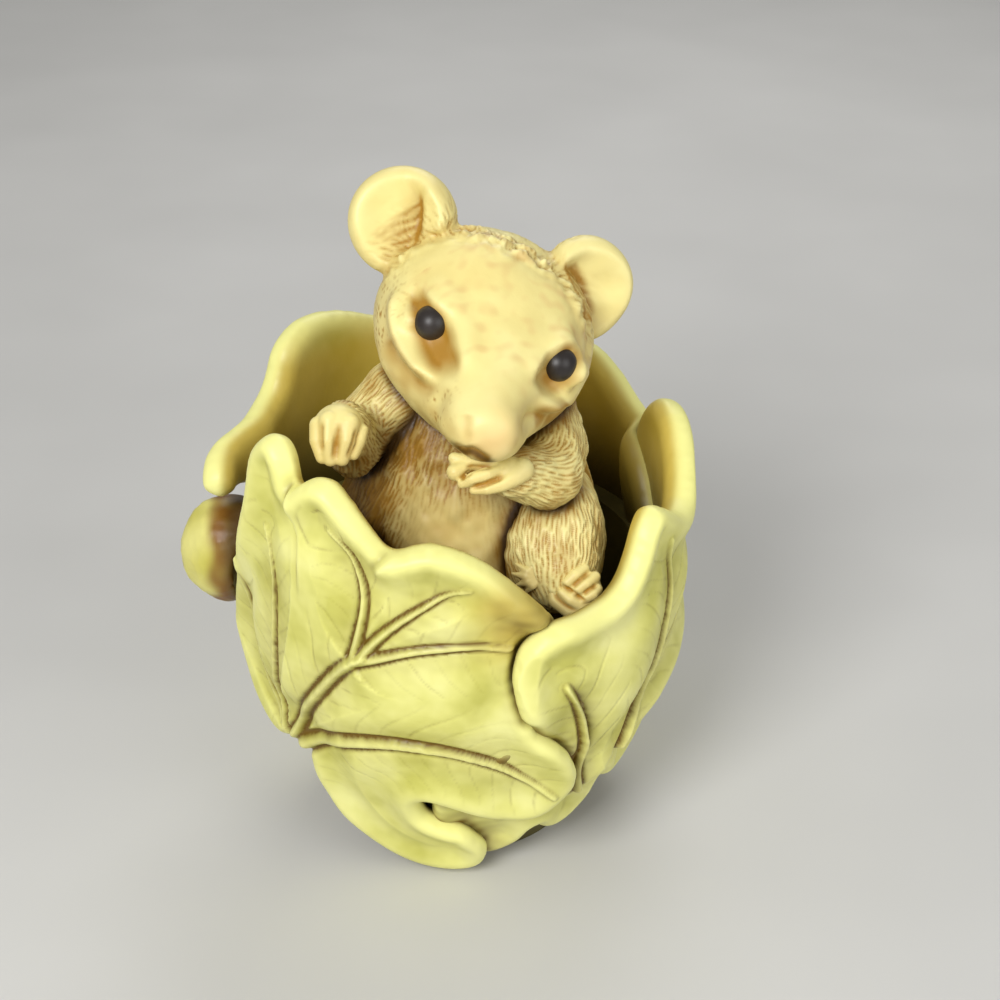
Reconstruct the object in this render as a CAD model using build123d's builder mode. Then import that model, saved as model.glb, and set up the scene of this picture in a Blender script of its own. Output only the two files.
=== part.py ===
"""Mouse figurine: a little mouse with big round ears sits upright in a cup of curled lobed leaves.

Cast and hand-stained resin, assembled from the shapes it is modelled of: an inner bowl, lobed leaves laid
round it, a round nut at the left, and the mouse seated on the floor of the bowl.
Frame: millimetres, +Z up, origin at the centre of the flat underside, the mouse faces -Y.
Left and right are as seen from the front. Azimuths are degrees round the cup, 0 at the front, positive to +X.
"""

import math
import os

from build123d import *

# Cup of leaves
cup_radius = 19.9
cup_height = 43.0
leaf_thickness = 2.6
under_leaf_step = 1.3
seat_gap = 0.1
wall_height_shares = (0.0, 0.05, 0.10, 0.16, 0.24, 0.34, 0.46, 0.58, 0.72, 0.86, 1.08)
wall_radius_shares = (0.635, 0.685, 0.735, 0.8, 0.87, 0.94, 0.985, 1.0, 0.985, 0.955, 0.93)

# Inner bowl that carries the leaves and the mouse
bowl_wall = 1.8
bowl_height = 25.0
bowl_floor = 3.0

# Nut at the left of the cup
nut_width = 8.6
nut_height = 9.6
nut_azimuth = -95.0
nut_rise_share = 0.57
nut_stand_out = 0.7

# Mouse: its places are shares of its height from the floor of the bowl, and of its body's width and depth
mouse_above_cup = 7.0
mouse_height = cup_height + mouse_above_cup

# Mouse: body, which fills the bowl but for these gaps
body_side_gap = 3.1
body_front_gap = 5.2
bowl_room = cup_radius - leaf_thickness - seat_gap - bowl_wall
body_width = 2 * (bowl_room - body_side_gap)
body_depth = 2 * (bowl_room - body_front_gap)

# Mouse: head, in its own frame of across, up and forward
head_width = 18.4
head_height = 16.2
head_length = 23.0
head_spot_shares = (0.073, -0.049, 0.872)
head_across_dir = Vector(0.913, 0.073, -0.400)
head_forward_dir = Vector(0.142, -0.983, 0.119)
left_eye_shares = (-0.304, 0.08, 0.287)
right_eye_shares = (0.266, 0.108, 0.335)
left_ear_shares = (-0.516, 0.383, -0.052)
right_ear_shares = (0.44, 0.395, -0.052)
eye_radius = 1.5
eye_gap = 0.05
ear_radius = 4.5
ear_thickness = 2.6
ear_round = 1.1
ear_rim = 1.0
ear_dish_depth = 1.4
ear_turn_dir = Vector(0.35, 0.2, 0.9)

# Mouse: limbs
shoulder_radius = 3.8
elbow_radius = 3.4
wrist_radius = 2.1
palm_length = 5.0
palm_width = 4.4
palm_depth = 3.2
finger_radius = 0.8
finger_length = 5.2
thigh_length = 12.6
thigh_width = 9.8
sole_length = 4.6
sole_width = 4.4
sole_depth = 3.4
toe_radius = 0.8
toe_length = 4.4
digits = 4
digit_fan_share = 0.35
left_paw_dir = Vector(0, 0, -1)
left_paw_across_dir = Vector(1, 0, 0)
right_paw_dir = Vector(-1, -0.3, 0)
right_paw_across_dir = Vector(0, -0.3, -1)
left_foot_dir = Vector(0.5, -0.6, -0.6)
left_foot_across_dir = Vector(1, 0, 1)
right_foot_dir = Vector(-0.5, -0.6, -0.6)
right_foot_across_dir = Vector(1, 0, -1)
thigh_dir = Vector(0, -0.75, -0.65)

# Egg rings from end to end: share of its length, share of its width
egg_ring_shares = (
    (-0.5, 0.08), (-0.47, 0.19), (-0.4, 0.31), (-0.24, 0.44), (0.0, 0.5), (0.24, 0.44), (0.4, 0.31),
    (0.47, 0.19), (0.5, 0.08),
)


def wall_radius(height):
    """Outside radius of the leaf wall at a height."""
    share = height / cup_height
    for low, high, near, far in zip(
        wall_height_shares, wall_height_shares[1:], wall_radius_shares, wall_radius_shares[1:]
    ):
        if share <= high:
            part = (share - low) / (high - low)
            return cup_radius * (near + (far - near) * part)
    return cup_radius * wall_radius_shares[-1]


def wall_points(layer):
    """Points up the wall's outline, as radius and height."""
    return [
        (cup_radius * radius_share + layer, cup_height * height_share)
        for radius_share, height_share in zip(wall_radius_shares, wall_height_shares)
    ]


def wall_plane(azimuth):
    """Upright plane through the cup's axis that faces out at an azimuth."""
    turn = math.radians(azimuth)
    return Plane(
        origin=(0, 0, 0),
        x_dir=(math.cos(turn), math.sin(turn), 0),
        z_dir=(math.sin(turn), -math.cos(turn), 0),
    )


def wall_shell(facing, outer_layer, inner_layer):
    """Adds the half of the wall about a facing azimuth, between two layers."""
    outer, inner = wall_points(outer_layer), wall_points(inner_layer)
    start = wall_plane(facing - 90)
    with BuildSketch(Plane(origin=start.origin, x_dir=start.z_dir, z_dir=-start.x_dir)) as profile:
        with BuildLine():
            Spline(*outer)
            Line(outer[-1], inner[-1])
            Spline(*inner)
            Line(inner[0], outer[0])
        make_face()
    revolve(profile.sketch, axis=Axis.Z, revolution_arc=180)


def outline_prism(facing, outline_shares, mode):
    """Extrudes a lobed outline, given as azimuth and share of the cup's height, out from the axis."""
    points = [
        (wall_radius(share * cup_height) * math.sin(math.radians(azimuth - facing)), share * cup_height)
        for azimuth, share in outline_shares
    ]
    with BuildSketch(wall_plane(facing)) as outline:
        with BuildLine():
            Spline(*points, periodic=True)
        make_face()
    extrude(outline.sketch, amount=2 * cup_radius, mode=mode)


def leaf(facing, outline_shares, outer_layer, *over):
    """Adds one leaf: the wall inside its outline, less the leaves that lie over it."""
    wall_shell(facing, outer_layer, -leaf_thickness)
    outline_prism(facing, outline_shares, Mode.INTERSECT)
    for other_facing, other_shares in over:
        outline_prism(other_facing, other_shares, Mode.SUBTRACT)


def wall_core(layer):
    """Adds the solid that fills one layer of the wall."""
    outline = wall_points(layer)
    with BuildSketch(Plane.XZ) as profile:
        with BuildLine():
            Spline(*outline)
            Line(outline[-1], (0, outline[-1][1]))
            Line((0, outline[-1][1]), (0, 0))
            Line((0, 0), outline[0])
        make_face()
    revolve(profile.sketch, axis=Axis.Z)


def spot(across_share, out_share, up_share):
    """Point of the mouse from shares of its body's width and depth and of its height."""
    return Vector(body_width * across_share, body_depth * out_share, bowl_floor + mouse_height * up_share)


def limb(spots, radii):
    """Adds a round limb lofted through circles that stand square to its path."""
    sections = []
    for index, (point, radius) in enumerate(zip(spots, radii)):
        before = spots[max(index - 1, 0)]
        after = spots[min(index + 1, len(spots) - 1)]
        with BuildSketch(Plane(origin=point, z_dir=after - before)) as section:
            Circle(radius)
        sections.append(section.sketch)
    loft(sections)


def egg(plane, length, width, depth):
    """Adds an egg-shaped lump, its length along the plane's normal, domed at both ends."""
    sections = []
    for along_share, size_share in egg_ring_shares:
        with BuildSketch(plane.offset(length * along_share)) as section:
            Ellipse(width * size_share, depth * size_share)
        sections.append(section.sketch)
    loft(sections)


def paw(plane, length, width, depth, digit_radius, digit_length):
    """Adds a paw: a palm with a fan of rounded digits laid along its front."""
    egg(plane, length, width, depth)
    pitch = (width - 2 * digit_radius) / (digits - 1)
    rise = depth / 2 - digit_radius
    for index in range(digits):
        across = (index - (digits - 1) / 2) * pitch
        middle = plane.from_local_coords(Vector(across, rise, 0))
        splay = plane.from_local_coords(Vector(across * (1 + digit_fan_share), rise, digit_length))
        egg(Plane(origin=middle, z_dir=splay - middle), digit_length, 2 * digit_radius, 2 * digit_radius)


head_plane = Plane(origin=spot(*head_spot_shares), x_dir=head_across_dir, z_dir=head_forward_dir)


def head_point(across_share, rise_share, forward_share):
    """Point of the head from shares of its width, height and length."""
    place = Vector(head_width * across_share, head_height * rise_share, head_length * forward_share)
    return head_plane.from_local_coords(place)


def take_away(*solids):
    """Cuts the current piece to sit against other pieces."""
    for solid in solids:
        add(solid, mode=Mode.SUBTRACT)


def finish(builder, name):
    """Labels one piece and writes its file."""
    builder.part.label = name
    export_step(builder.part, "parts/" + name + ".step")


# Outlines: azimuth in degrees and height as a share of the cup's height, round each leaf
front_leaf_shares = (
    (-50, 0.30), (-62, 0.26), (-76, 0.32), (-86, 0.45), (-84, 0.58), (-78, 0.72), (-74, 0.85), (-69, 0.93),
    (-62, 0.945), (-55, 0.90), (-50, 0.88), (-44, 0.905), (-37, 0.91), (-30, 0.875), (-23, 0.83),
    (-14, 0.81), (-5, 0.815), (3, 0.79), (9, 0.74), (13, 0.66), (13, 0.58), (17, 0.49), (27, 0.42),
    (33, 0.32), (29, 0.245), (18, 0.205), (4, 0.205), (-5, 0.215), (-9, 0.195), (1, 0.17), (12, 0.145),
    (16, 0.08), (10, 0.02), (-8, 0.01), (-26, 0.03), (-40, 0.08), (-47, 0.16),
)
right_leaf_shares = (
    (9, 0.52), (13, 0.595), (19, 0.635), (27, 0.64), (35, 0.65), (43, 0.68), (47, 0.74), (51, 0.805),
    (56, 0.825), (63, 0.80), (70, 0.765), (78, 0.765), (87, 0.81), (97, 0.86), (107, 0.87), (115, 0.83),
    (120, 0.75), (116, 0.6), (102, 0.44), (84, 0.40), (64, 0.42), (52, 0.38), (45, 0.27), (36, 0.25),
    (26, 0.34), (14, 0.44),
)
under_leaf_shares = (
    (10, 0.40), (30, 0.50), (60, 0.55), (90, 0.55), (100, 0.42), (88, 0.29), (72, 0.22), (60, 0.15),
    (47, 0.125), (35, 0.13), (25, 0.08), (15, 0.05), (4, 0.08), (-6, 0.14), (-4, 0.26),
)
back_left_leaf_shares = (
    (-178, 0.60), (-176, 0.80), (-164, 0.895), (-150, 0.95), (-138, 0.98), (-127, 0.98), (-119, 0.94),
    (-115, 0.88), (-111, 0.83), (-103, 0.80), (-93, 0.785), (-85, 0.755), (-89, 0.72), (-102, 0.69),
    (-108, 0.64), (-101, 0.57), (-91, 0.52), (-82, 0.42), (-80, 0.30), (-84, 0.16), (-98, 0.05),
    (-130, 0.02), (-160, 0.06), (-176, 0.30),
)
back_right_leaf_shares = (
    (98, 0.10), (90, 0.30), (92, 0.50), (104, 0.68), (116, 0.76), (126, 0.805), (134, 0.86), (142, 0.895),
    (152, 0.885), (164, 0.82), (176, 0.77), (188, 0.70), (192, 0.40), (184, 0.12), (160, 0.03), (125, 0.02),
)
front_leaf_facing = -32.0
right_leaf_facing = 66.0
under_leaf_facing = 55.0
back_left_leaf_facing = -128.0
back_right_leaf_facing = 142.0

# Body rings from the seat up: height, half width, half depth, shift to the right
body_ring_shares = (
    (0.0, 0.28, 0.29, 0.0), (0.04, 0.38, 0.38, 0.0), (0.12, 0.46, 0.46, 0.0), (0.26, 0.5, 0.5, 0.0),
    (0.42, 0.495, 0.495, 0.0), (0.56, 0.45, 0.44, 0.02), (0.66, 0.37, 0.37, 0.02), (0.74, 0.28, 0.29, 0.02),
    (0.79, 0.2, 0.22, 0.02),
)
# Head rings from the back to the nose: forward, half width, half height, lift
head_ring_shares = (
    (-0.345, 0.06, 0.06, 0.03), (-0.325, 0.165, 0.165, 0.03), (-0.283, 0.295, 0.3, 0.03),
    (-0.13, 0.465, 0.465, 0.035), (0.0, 0.5, 0.5, 0.03), (0.152, 0.467, 0.465, 0.0),
    (0.283, 0.37, 0.37, -0.074), (0.413, 0.26, 0.265, -0.148), (0.543, 0.185, 0.185, -0.205),
    (0.63, 0.135, 0.135, -0.216), (0.662, 0.06, 0.06, -0.218),
)
arm_radii = (shoulder_radius, elbow_radius, (elbow_radius + wrist_radius) / 2, wrist_radius)
left_arm_shares = (
    (-0.203, -0.049, 0.75), (-0.346, -0.098, 0.70), (-0.407, -0.172, 0.70), (-0.386, -0.343, 0.765),
)
right_arm_shares = (
    (0.244, -0.049, 0.75), (0.325, -0.196, 0.70), (0.305, -0.392, 0.685), (0.152, -0.539, 0.725),
)
left_thigh_shares = (-0.305, -0.319, 0.49)
right_thigh_shares = (0.325, -0.319, 0.55)
left_paw_shares = (-0.39, -0.466, 0.775)
right_paw_shares = (0.069, -0.613, 0.735)
# From the middle of a thigh to its foot, as shares of the thigh's length
left_foot_shares = (0.0, -0.337, -0.079)
right_foot_shares = (0.087, -0.417, -0.099)

left_thigh_spot = spot(*left_thigh_shares)
right_thigh_spot = spot(*right_thigh_shares)
left_foot_spot = left_thigh_spot + Vector(*left_foot_shares) * thigh_length
right_foot_spot = right_thigh_spot + Vector(*right_foot_shares) * thigh_length

os.makedirs("parts", exist_ok=True)

front_over = (front_leaf_facing, front_leaf_shares)
right_over = (right_leaf_facing, right_leaf_shares)
back_left_over = (back_left_leaf_facing, back_left_leaf_shares)
back_right_over = (back_right_leaf_facing, back_right_leaf_shares)

with BuildPart() as front_leaf:
    leaf(front_leaf_facing, front_leaf_shares, 0.0)
finish(front_leaf, "front_leaf")

with BuildPart() as right_leaf:
    leaf(right_leaf_facing, right_leaf_shares, 0.0, front_over)
finish(right_leaf, "right_leaf")

with BuildPart() as back_left_leaf:
    leaf(back_left_leaf_facing, back_left_leaf_shares, 0.0, front_over)
finish(back_left_leaf, "back_left_leaf")

with BuildPart() as back_right_leaf:
    leaf(back_right_leaf_facing, back_right_leaf_shares, 0.0, right_over, back_left_over)
finish(back_right_leaf, "back_right_leaf")

with BuildPart() as under_leaf:
    leaf(under_leaf_facing, under_leaf_shares, -under_leaf_step, front_over, right_over, back_right_over)
finish(under_leaf, "under_leaf")

with BuildPart() as bowl_hollow:
    wall_core(-leaf_thickness - seat_gap - bowl_wall)
    split(bisect_by=Plane.XY.offset(bowl_floor), keep=Keep.TOP)

with BuildPart() as bowl:
    wall_core(-leaf_thickness - seat_gap)
    take_away(bowl_hollow.part)
    split(bisect_by=Plane.XY.offset(bowl_height), keep=Keep.BOTTOM)
finish(bowl, "bowl")

eye_spots = [head_point(*left_eye_shares), head_point(*right_eye_shares)]
with BuildPart() as mouse_head:
    sections = []
    for forward_share, across_share, up_share, lift_share in head_ring_shares:
        with BuildSketch(head_plane.offset(head_length * forward_share)) as section:
            with Locations((0, head_height * lift_share)):
                Ellipse(head_width * across_share, head_height * up_share)
        sections.append(section.sketch)
    loft(sections)
    with Locations(eye_spots):
        Sphere(eye_radius + eye_gap, mode=Mode.SUBTRACT)
finish(mouse_head, "mouse_head")

for eye_spot, name in zip(eye_spots, ("left_eye", "right_eye")):
    with BuildPart() as eye:
        with Locations(eye_spot):
            Sphere(eye_radius)
    finish(eye, name)

with BuildPart() as mouse_body:
    sections = []
    for height_share, across_share, depth_share, shift_share in body_ring_shares:
        with BuildSketch(Plane.XY.offset(bowl_floor + mouse_height * height_share)) as section:
            with Locations((body_width * shift_share, 0)):
                Ellipse(body_width * across_share, body_depth * depth_share)
        sections.append(section.sketch)
    loft(sections)
    take_away(mouse_head.part)
finish(mouse_body, "mouse_body")

mouth_radius = ear_radius - ear_rim
dish_radius = (mouth_radius**2 + ear_dish_depth**2) / (2 * ear_dish_depth)
for name, side, ear_shares in (("left_ear", -1, left_ear_shares), ("right_ear", 1, right_ear_shares)):
    turned = Vector(side * ear_turn_dir.X, ear_turn_dir.Y, ear_turn_dir.Z)
    outlook = head_plane.from_local_coords(turned) - head_plane.origin
    ear_plane = Plane(origin=head_point(*ear_shares), z_dir=outlook)
    with BuildPart() as ear:
        with BuildSketch(ear_plane) as face:
            Circle(ear_radius)
        extrude(face.sketch, amount=-ear_thickness)
        fillet(ear.edges().filter_by(GeomType.CIRCLE), ear_round)
        with Locations(ear_plane.offset(dish_radius - ear_dish_depth).origin):
            Sphere(dish_radius, mode=Mode.SUBTRACT)
        take_away(mouse_head.part)
    finish(ear, name)

with BuildPart() as left_thigh:
    egg(Plane(origin=left_thigh_spot, z_dir=thigh_dir), thigh_length, thigh_width, thigh_width)
    take_away(mouse_body.part)
finish(left_thigh, "left_thigh")

with BuildPart() as right_thigh:
    egg(Plane(origin=right_thigh_spot, z_dir=thigh_dir), thigh_length, thigh_width, thigh_width)
    take_away(mouse_body.part)
finish(right_thigh, "right_thigh")

with BuildPart() as left_arm:
    limb([spot(*shares) for shares in left_arm_shares], arm_radii)
    take_away(mouse_body.part, mouse_head.part, left_thigh.part)
finish(left_arm, "left_arm")

with BuildPart() as right_arm:
    limb([spot(*shares) for shares in right_arm_shares], arm_radii)
    take_away(mouse_body.part, mouse_head.part, right_thigh.part)
finish(right_arm, "right_arm")

with BuildPart() as left_paw:
    plane = Plane(origin=spot(*left_paw_shares), x_dir=left_paw_across_dir, z_dir=left_paw_dir)
    paw(plane, palm_length, palm_width, palm_depth, finger_radius, finger_length)
    take_away(left_arm.part, mouse_body.part, mouse_head.part)
finish(left_paw, "left_paw")

with BuildPart() as right_paw:
    plane = Plane(origin=spot(*right_paw_shares), x_dir=right_paw_across_dir, z_dir=right_paw_dir)
    paw(plane, palm_length, palm_width, palm_depth, finger_radius, finger_length)
    take_away(right_arm.part, mouse_body.part, mouse_head.part)
finish(right_paw, "right_paw")

with BuildPart() as right_foot:
    plane = Plane(origin=right_foot_spot, x_dir=right_foot_across_dir, z_dir=right_foot_dir)
    paw(plane, sole_length, sole_width, sole_depth, toe_radius, toe_length)
    take_away(right_thigh.part, mouse_body.part)
finish(right_foot, "right_foot")

with BuildPart() as left_foot:
    plane = Plane(origin=left_foot_spot, x_dir=left_foot_across_dir, z_dir=left_foot_dir)
    paw(plane, sole_length, sole_width, sole_depth, toe_radius, toe_length)
    take_away(left_thigh.part, mouse_body.part)
finish(left_foot, "left_foot")

with BuildPart() as inside_wall:
    wall_core(-leaf_thickness)

with BuildPart() as nut:
    nut_plane = wall_plane(nut_azimuth).offset(cup_radius + nut_stand_out)
    nut_middle = nut_plane.from_local_coords(Vector(0, cup_height * nut_rise_share, 0))
    egg(Plane(origin=nut_middle, z_dir=(0, 0, 1)), nut_height, nut_width, nut_width)
    take_away(back_left_leaf.part, front_leaf.part, inside_wall.part)
finish(nut, "nut")
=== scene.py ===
"""A resin mouse figurine sitting in a cup of lobed leaves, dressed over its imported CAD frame.

Shapes are worked out in millimetres and turned into metres when each piece is finished.
Left and right are as seen from the front; the mouse faces -Y and +Z is up.
"""

import math

import bpy
import numpy as np
from mathutils import Matrix, Vector
from mathutils.bvhtree import BVHTree
from mathutils.kdtree import KDTree


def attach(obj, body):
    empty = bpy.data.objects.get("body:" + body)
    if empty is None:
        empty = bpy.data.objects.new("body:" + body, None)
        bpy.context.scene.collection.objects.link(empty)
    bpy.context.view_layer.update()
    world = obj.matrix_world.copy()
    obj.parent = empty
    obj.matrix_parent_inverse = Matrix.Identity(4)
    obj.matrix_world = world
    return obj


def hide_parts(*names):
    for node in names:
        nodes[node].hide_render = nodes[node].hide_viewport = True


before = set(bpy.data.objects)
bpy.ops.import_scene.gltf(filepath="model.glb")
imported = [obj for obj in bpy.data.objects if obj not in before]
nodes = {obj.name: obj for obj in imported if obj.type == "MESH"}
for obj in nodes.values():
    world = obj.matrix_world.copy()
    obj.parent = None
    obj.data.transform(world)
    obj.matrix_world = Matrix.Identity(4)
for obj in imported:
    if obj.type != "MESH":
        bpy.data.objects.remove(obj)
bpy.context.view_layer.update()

MM_PER_METRE = 1000
FAR = 99.0  # farther than any place on a leaf, in millimetres
NOISE_WAVES, NOISE_SPREAD = 14, 4.0


# Small tools


def linear(code):
    """Linear colour from an sRGB hex code."""
    parts = [int(code[i : i + 2], 16) / 255 for i in (1, 3, 5)]
    return tuple(p / 12.92 if p <= 0.04045 else ((p + 0.055) / 1.055) ** 2.4 for p in parts) + (1.0,)


def select(obj):
    """Makes one object the only selected and active one."""
    bpy.ops.object.select_all(action="DESELECT")
    obj.select_set(True)
    bpy.context.view_layer.objects.active = obj


def mesh_object(name, verts, faces):
    """New mesh object from points in millimetres."""
    data = bpy.data.meshes.new(name)
    data.from_pydata([tuple(v) for v in verts], [], [tuple(f) for f in faces])
    data.validate()
    obj = bpy.data.objects.new(name, data)
    bpy.context.scene.collection.objects.link(obj)
    return obj


def merge_doubles(obj, gap):
    """Merges points closer than the gap and turns every face outwards."""
    select(obj)
    bpy.ops.object.mode_set(mode="EDIT")
    bpy.ops.mesh.select_all(action="SELECT")
    bpy.ops.mesh.remove_doubles(threshold=gap)
    bpy.ops.mesh.normals_make_consistent(inside=False)
    bpy.ops.object.mode_set(mode="OBJECT")


def cad_copy(name, node):
    """Copy of a CAD node in millimetres, its doubled points merged."""
    mesh = nodes[node].data
    obj = mesh_object(name, [v.co * MM_PER_METRE for v in mesh.vertices], [p.vertices for p in mesh.polygons])
    merge_doubles(obj, 0.001)
    return obj


def add_ball(place, radius, subdivisions=3):
    """A ball at a place, both in millimetres."""
    bpy.ops.object.select_all(action="DESELECT")
    bpy.ops.mesh.primitive_ico_sphere_add(
        subdivisions=subdivisions, radius=float(radius), location=tuple(place)
    )
    return bpy.context.object


def chain(spots, count=7):
    """Overlapping balls along a line of (place, radius) pairs."""
    balls = []
    for (start, start_radius), (end, end_radius) in zip(spots[:-1], spots[1:]):
        run = np.array(end) - np.array(start)
        for t in np.linspace(0, 1, count):
            balls.append(add_ball(np.array(start) + run * t, start_radius + (end_radius - start_radius) * t))
    return balls


def join(objs, name):
    """Joins objects into the first one."""
    select(objs[0])
    for obj in objs:
        obj.select_set(True)
    bpy.ops.object.join()
    objs[0].name = name
    return objs[0]


def settle(obj):
    """Moves an object's place and turn into its mesh."""
    select(obj)
    bpy.ops.object.transform_apply(location=True, rotation=True, scale=True)


def apply_modifier(obj, kind, **values):
    """Adds a modifier with the given settings and applies it."""
    select(obj)
    mod = obj.modifiers.new(kind.lower(), kind)
    for key, value in values.items():
        setattr(mod, key, value)
    bpy.ops.object.modifier_apply(modifier=mod.name)


def remesh(obj, voxel, rounds):
    """Melts an object into one even skin and softens it."""
    apply_modifier(obj, "REMESH", mode="VOXEL", voxel_size=voxel, use_smooth_shade=True)
    apply_modifier(obj, "SMOOTH", factor=0.5, iterations=rounds)


def points(obj):
    """Places of an object's points, one row each."""
    out = np.empty(len(obj.data.vertices) * 3)
    obj.data.vertices.foreach_get("co", out)
    return out.reshape(-1, 3)


def normals(obj):
    """Outward directions at an object's points, one row each."""
    out = np.empty(len(obj.data.vertices) * 3)
    obj.data.vertices.foreach_get("normal", out)
    return out.reshape(-1, 3)


def move_points(obj, new):
    """Gives an object's points new places."""
    obj.data.vertices.foreach_set("co", np.ascontiguousarray(new, dtype=np.float32).ravel())
    obj.data.update()


def edge_array(obj):
    """The two point numbers of each edge."""
    out = np.empty(len(obj.data.edges) * 2, dtype=np.int64)
    obj.data.edges.foreach_get("vertices", out)
    return out.reshape(-1, 2)


def blur(edges, values, rounds):
    """Averages values over neighbouring points, several times."""
    count = values.shape[0]
    degree = np.bincount(edges.ravel(), minlength=count).astype(float)
    flat = values.reshape(count, -1)
    for _ in range(rounds):
        total = np.empty_like(flat)
        for k in range(flat.shape[1]):
            total[:, k] = np.bincount(edges[:, 0], weights=flat[edges[:, 1], k], minlength=count)
            total[:, k] += np.bincount(edges[:, 1], weights=flat[edges[:, 0], k], minlength=count)
        flat = 0.5 * flat + 0.5 * total / degree[:, None]
    return flat.reshape(values.shape)


def relief(obj, rounds):
    """Height of each point above its smoothed surroundings, in millimetres."""
    p = points(obj)
    return ((p - blur(edge_array(obj), p, rounds)) * normals(obj)).sum(1)


def step(low, high, x):
    """Smooth step from 0 at low to 1 at high."""
    t = np.clip((x - low) / (high - low), 0, 1)
    return t * t * (3 - 2 * t)


def bump(x, width):
    """Bell curve that falls to about a third at the given width."""
    return np.exp(-((x / width) ** 2))


def around(p, spot, width):
    """Bell curve of the distance to a spot."""
    return bump(np.linalg.norm(p - np.array(spot), axis=1), width)


def noise(p, scale, seed=0):
    """Soft noise between about -1 and 1 from crossed waves about as long as the scale."""
    random = np.random.default_rng(seed)
    total = np.zeros(len(p))
    for _ in range(NOISE_WAVES):
        direction = random.normal(size=3)
        direction /= np.linalg.norm(direction)
        wave = random.uniform(0.6, 1.5) / scale
        total += np.sin(2 * math.pi * (p @ direction) * wave + random.uniform(0, 6.28))
    return total / NOISE_SPREAD


def nearest_on(p, line):
    """Distance to a line, the share of its length there, the nearest spot, and on a flat line the side,
    +1 to its left."""
    runs = np.diff(line, axis=0)
    lengths = np.linalg.norm(runs, axis=1)
    begun = np.concatenate([[0], np.cumsum(lengths)[:-1]])
    distance = np.full(len(p), np.inf)
    along_line, side = np.zeros(len(p)), np.ones(len(p))
    spot = np.zeros_like(p)
    for start, run, length, so_far in zip(line[:-1], runs, lengths, begun):
        gap = p - start
        t = np.clip((gap @ run) / max(length**2, 1e-9), 0, 1)
        near = start + t[:, None] * run
        away = np.linalg.norm(p - near, axis=1)
        closer = away < distance
        distance[closer] = away[closer]
        along_line[closer] = (so_far + t * length)[closer]
        spot[closer] = near[closer]
        if p.shape[1] == 2:
            side[closer] = np.where(run[0] * gap[:, 1] >= run[1] * gap[:, 0], 1.0, -1.0)[closer]
    return distance, along_line / max(lengths.sum(), 1e-9), spot, side


def curve_through(control, steps, closed=False):
    """Even curve through control points."""
    c = np.asarray(control, float)
    n = len(c)
    out = []
    for i in range(n if closed else n - 1):
        before = c[(i - 1) % n] if closed or i > 0 else 2 * c[0] - c[1]
        start, end = c[i], c[(i + 1) % n]
        after = c[(i + 2) % n] if closed or i + 2 < n else 2 * c[-1] - c[-2]
        for t in np.arange(steps) / steps:
            bend = (end - before) * t + (2 * before - 5 * start + 4 * end - after) * t * t
            out.append(0.5 * (2 * start + bend + (3 * start - before - 3 * end + after) * t**3))
    if not closed:
        out.append(c[-1])
    return np.array(out)


def store_looks(obj, stain, raised=0.0, blush=0.0, deep=0.0):
    """Keeps four numbers per point, from 0 to 1, for the materials to read."""
    for name, value in (("stain", stain), ("raised", raised), ("blush", blush), ("deep", deep)):
        layer = obj.data.attributes.new(name, "FLOAT", "POINT")
        amounts = np.clip(np.broadcast_to(value, len(obj.data.vertices)), 0, 1)
        layer.data.foreach_set("value", np.ascontiguousarray(amounts, dtype=np.float32))


def finish_piece(obj, replaced, material):
    """Turns a piece into metres, dresses it and fixes it to the figurine's one body."""
    obj.data.transform(Matrix.Scale(1 / MM_PER_METRE, 4))
    for polygon in obj.data.polygons:
        polygon.use_smooth = True
    obj.data.materials.clear()
    obj.data.materials.append(material)
    obj.data.update()
    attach(obj, "root")
    if replaced:
        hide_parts(*replaced)


# Materials

NODE_COLUMN, NODE_ROW = 220, 180
CLOUD_MM = 6.25
# The grain of a casting is finer than this; it is drawn as coarse as it needs to show
GRAIN_MM, GRAIN_HEIGHT_MM, GRAIN_STRENGTH = 2 / 3, 0.3, 0.05
RESIN_SPECULAR = 0.35


def add_node(tree, kind, place, settings=(), inputs=()):
    """Adds one shader node with its settings, and its inputs as values or links."""
    made = tree.nodes.new(kind)
    made.location = (place[0] * NODE_COLUMN, -place[1] * NODE_ROW)
    for name, value in dict(settings).items():
        setattr(made, name, value)
    for name, value in dict(inputs).items():
        if isinstance(value, bpy.types.NodeSocket):
            tree.links.new(value, made.inputs[name])
        else:
            made.inputs[name].default_value = value
    return made


def clouded(name, cloud_mm, detail, stops, roughness):
    """A dull material whose colour drifts between (position, hex) stops in soft clouds."""
    made = bpy.data.materials.new(name)
    made.use_nodes = True
    tree = made.node_tree
    tree.nodes.clear()
    coords = add_node(tree, "ShaderNodeTexCoord", (-1, 0)).outputs["Object"]
    cloud = add_node(
        tree, "ShaderNodeTexNoise", (0, 0),
        inputs={"Vector": coords, "Scale": MM_PER_METRE / cloud_mm, "Detail": detail},
    ).outputs["Fac"]
    colours = add_node(tree, "ShaderNodeValToRGB", (1, 0), inputs={"Fac": cloud})
    elements = colours.color_ramp.elements
    elements.remove(elements[1])
    for number, (position, code) in enumerate(stops):
        element = elements.new(position) if number else elements[0]
        element.position = position
        element.color = linear(code)
    body = colours.outputs["Color"]
    shader = add_node(
        tree, "ShaderNodeBsdfPrincipled", (7, 0), inputs={"Base Color": body, "Roughness": roughness}
    )
    add_node(tree, "ShaderNodeOutputMaterial", (9, 0), inputs={"Surface": shader.outputs["BSDF"]})
    return made, coords, body, shader


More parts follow.
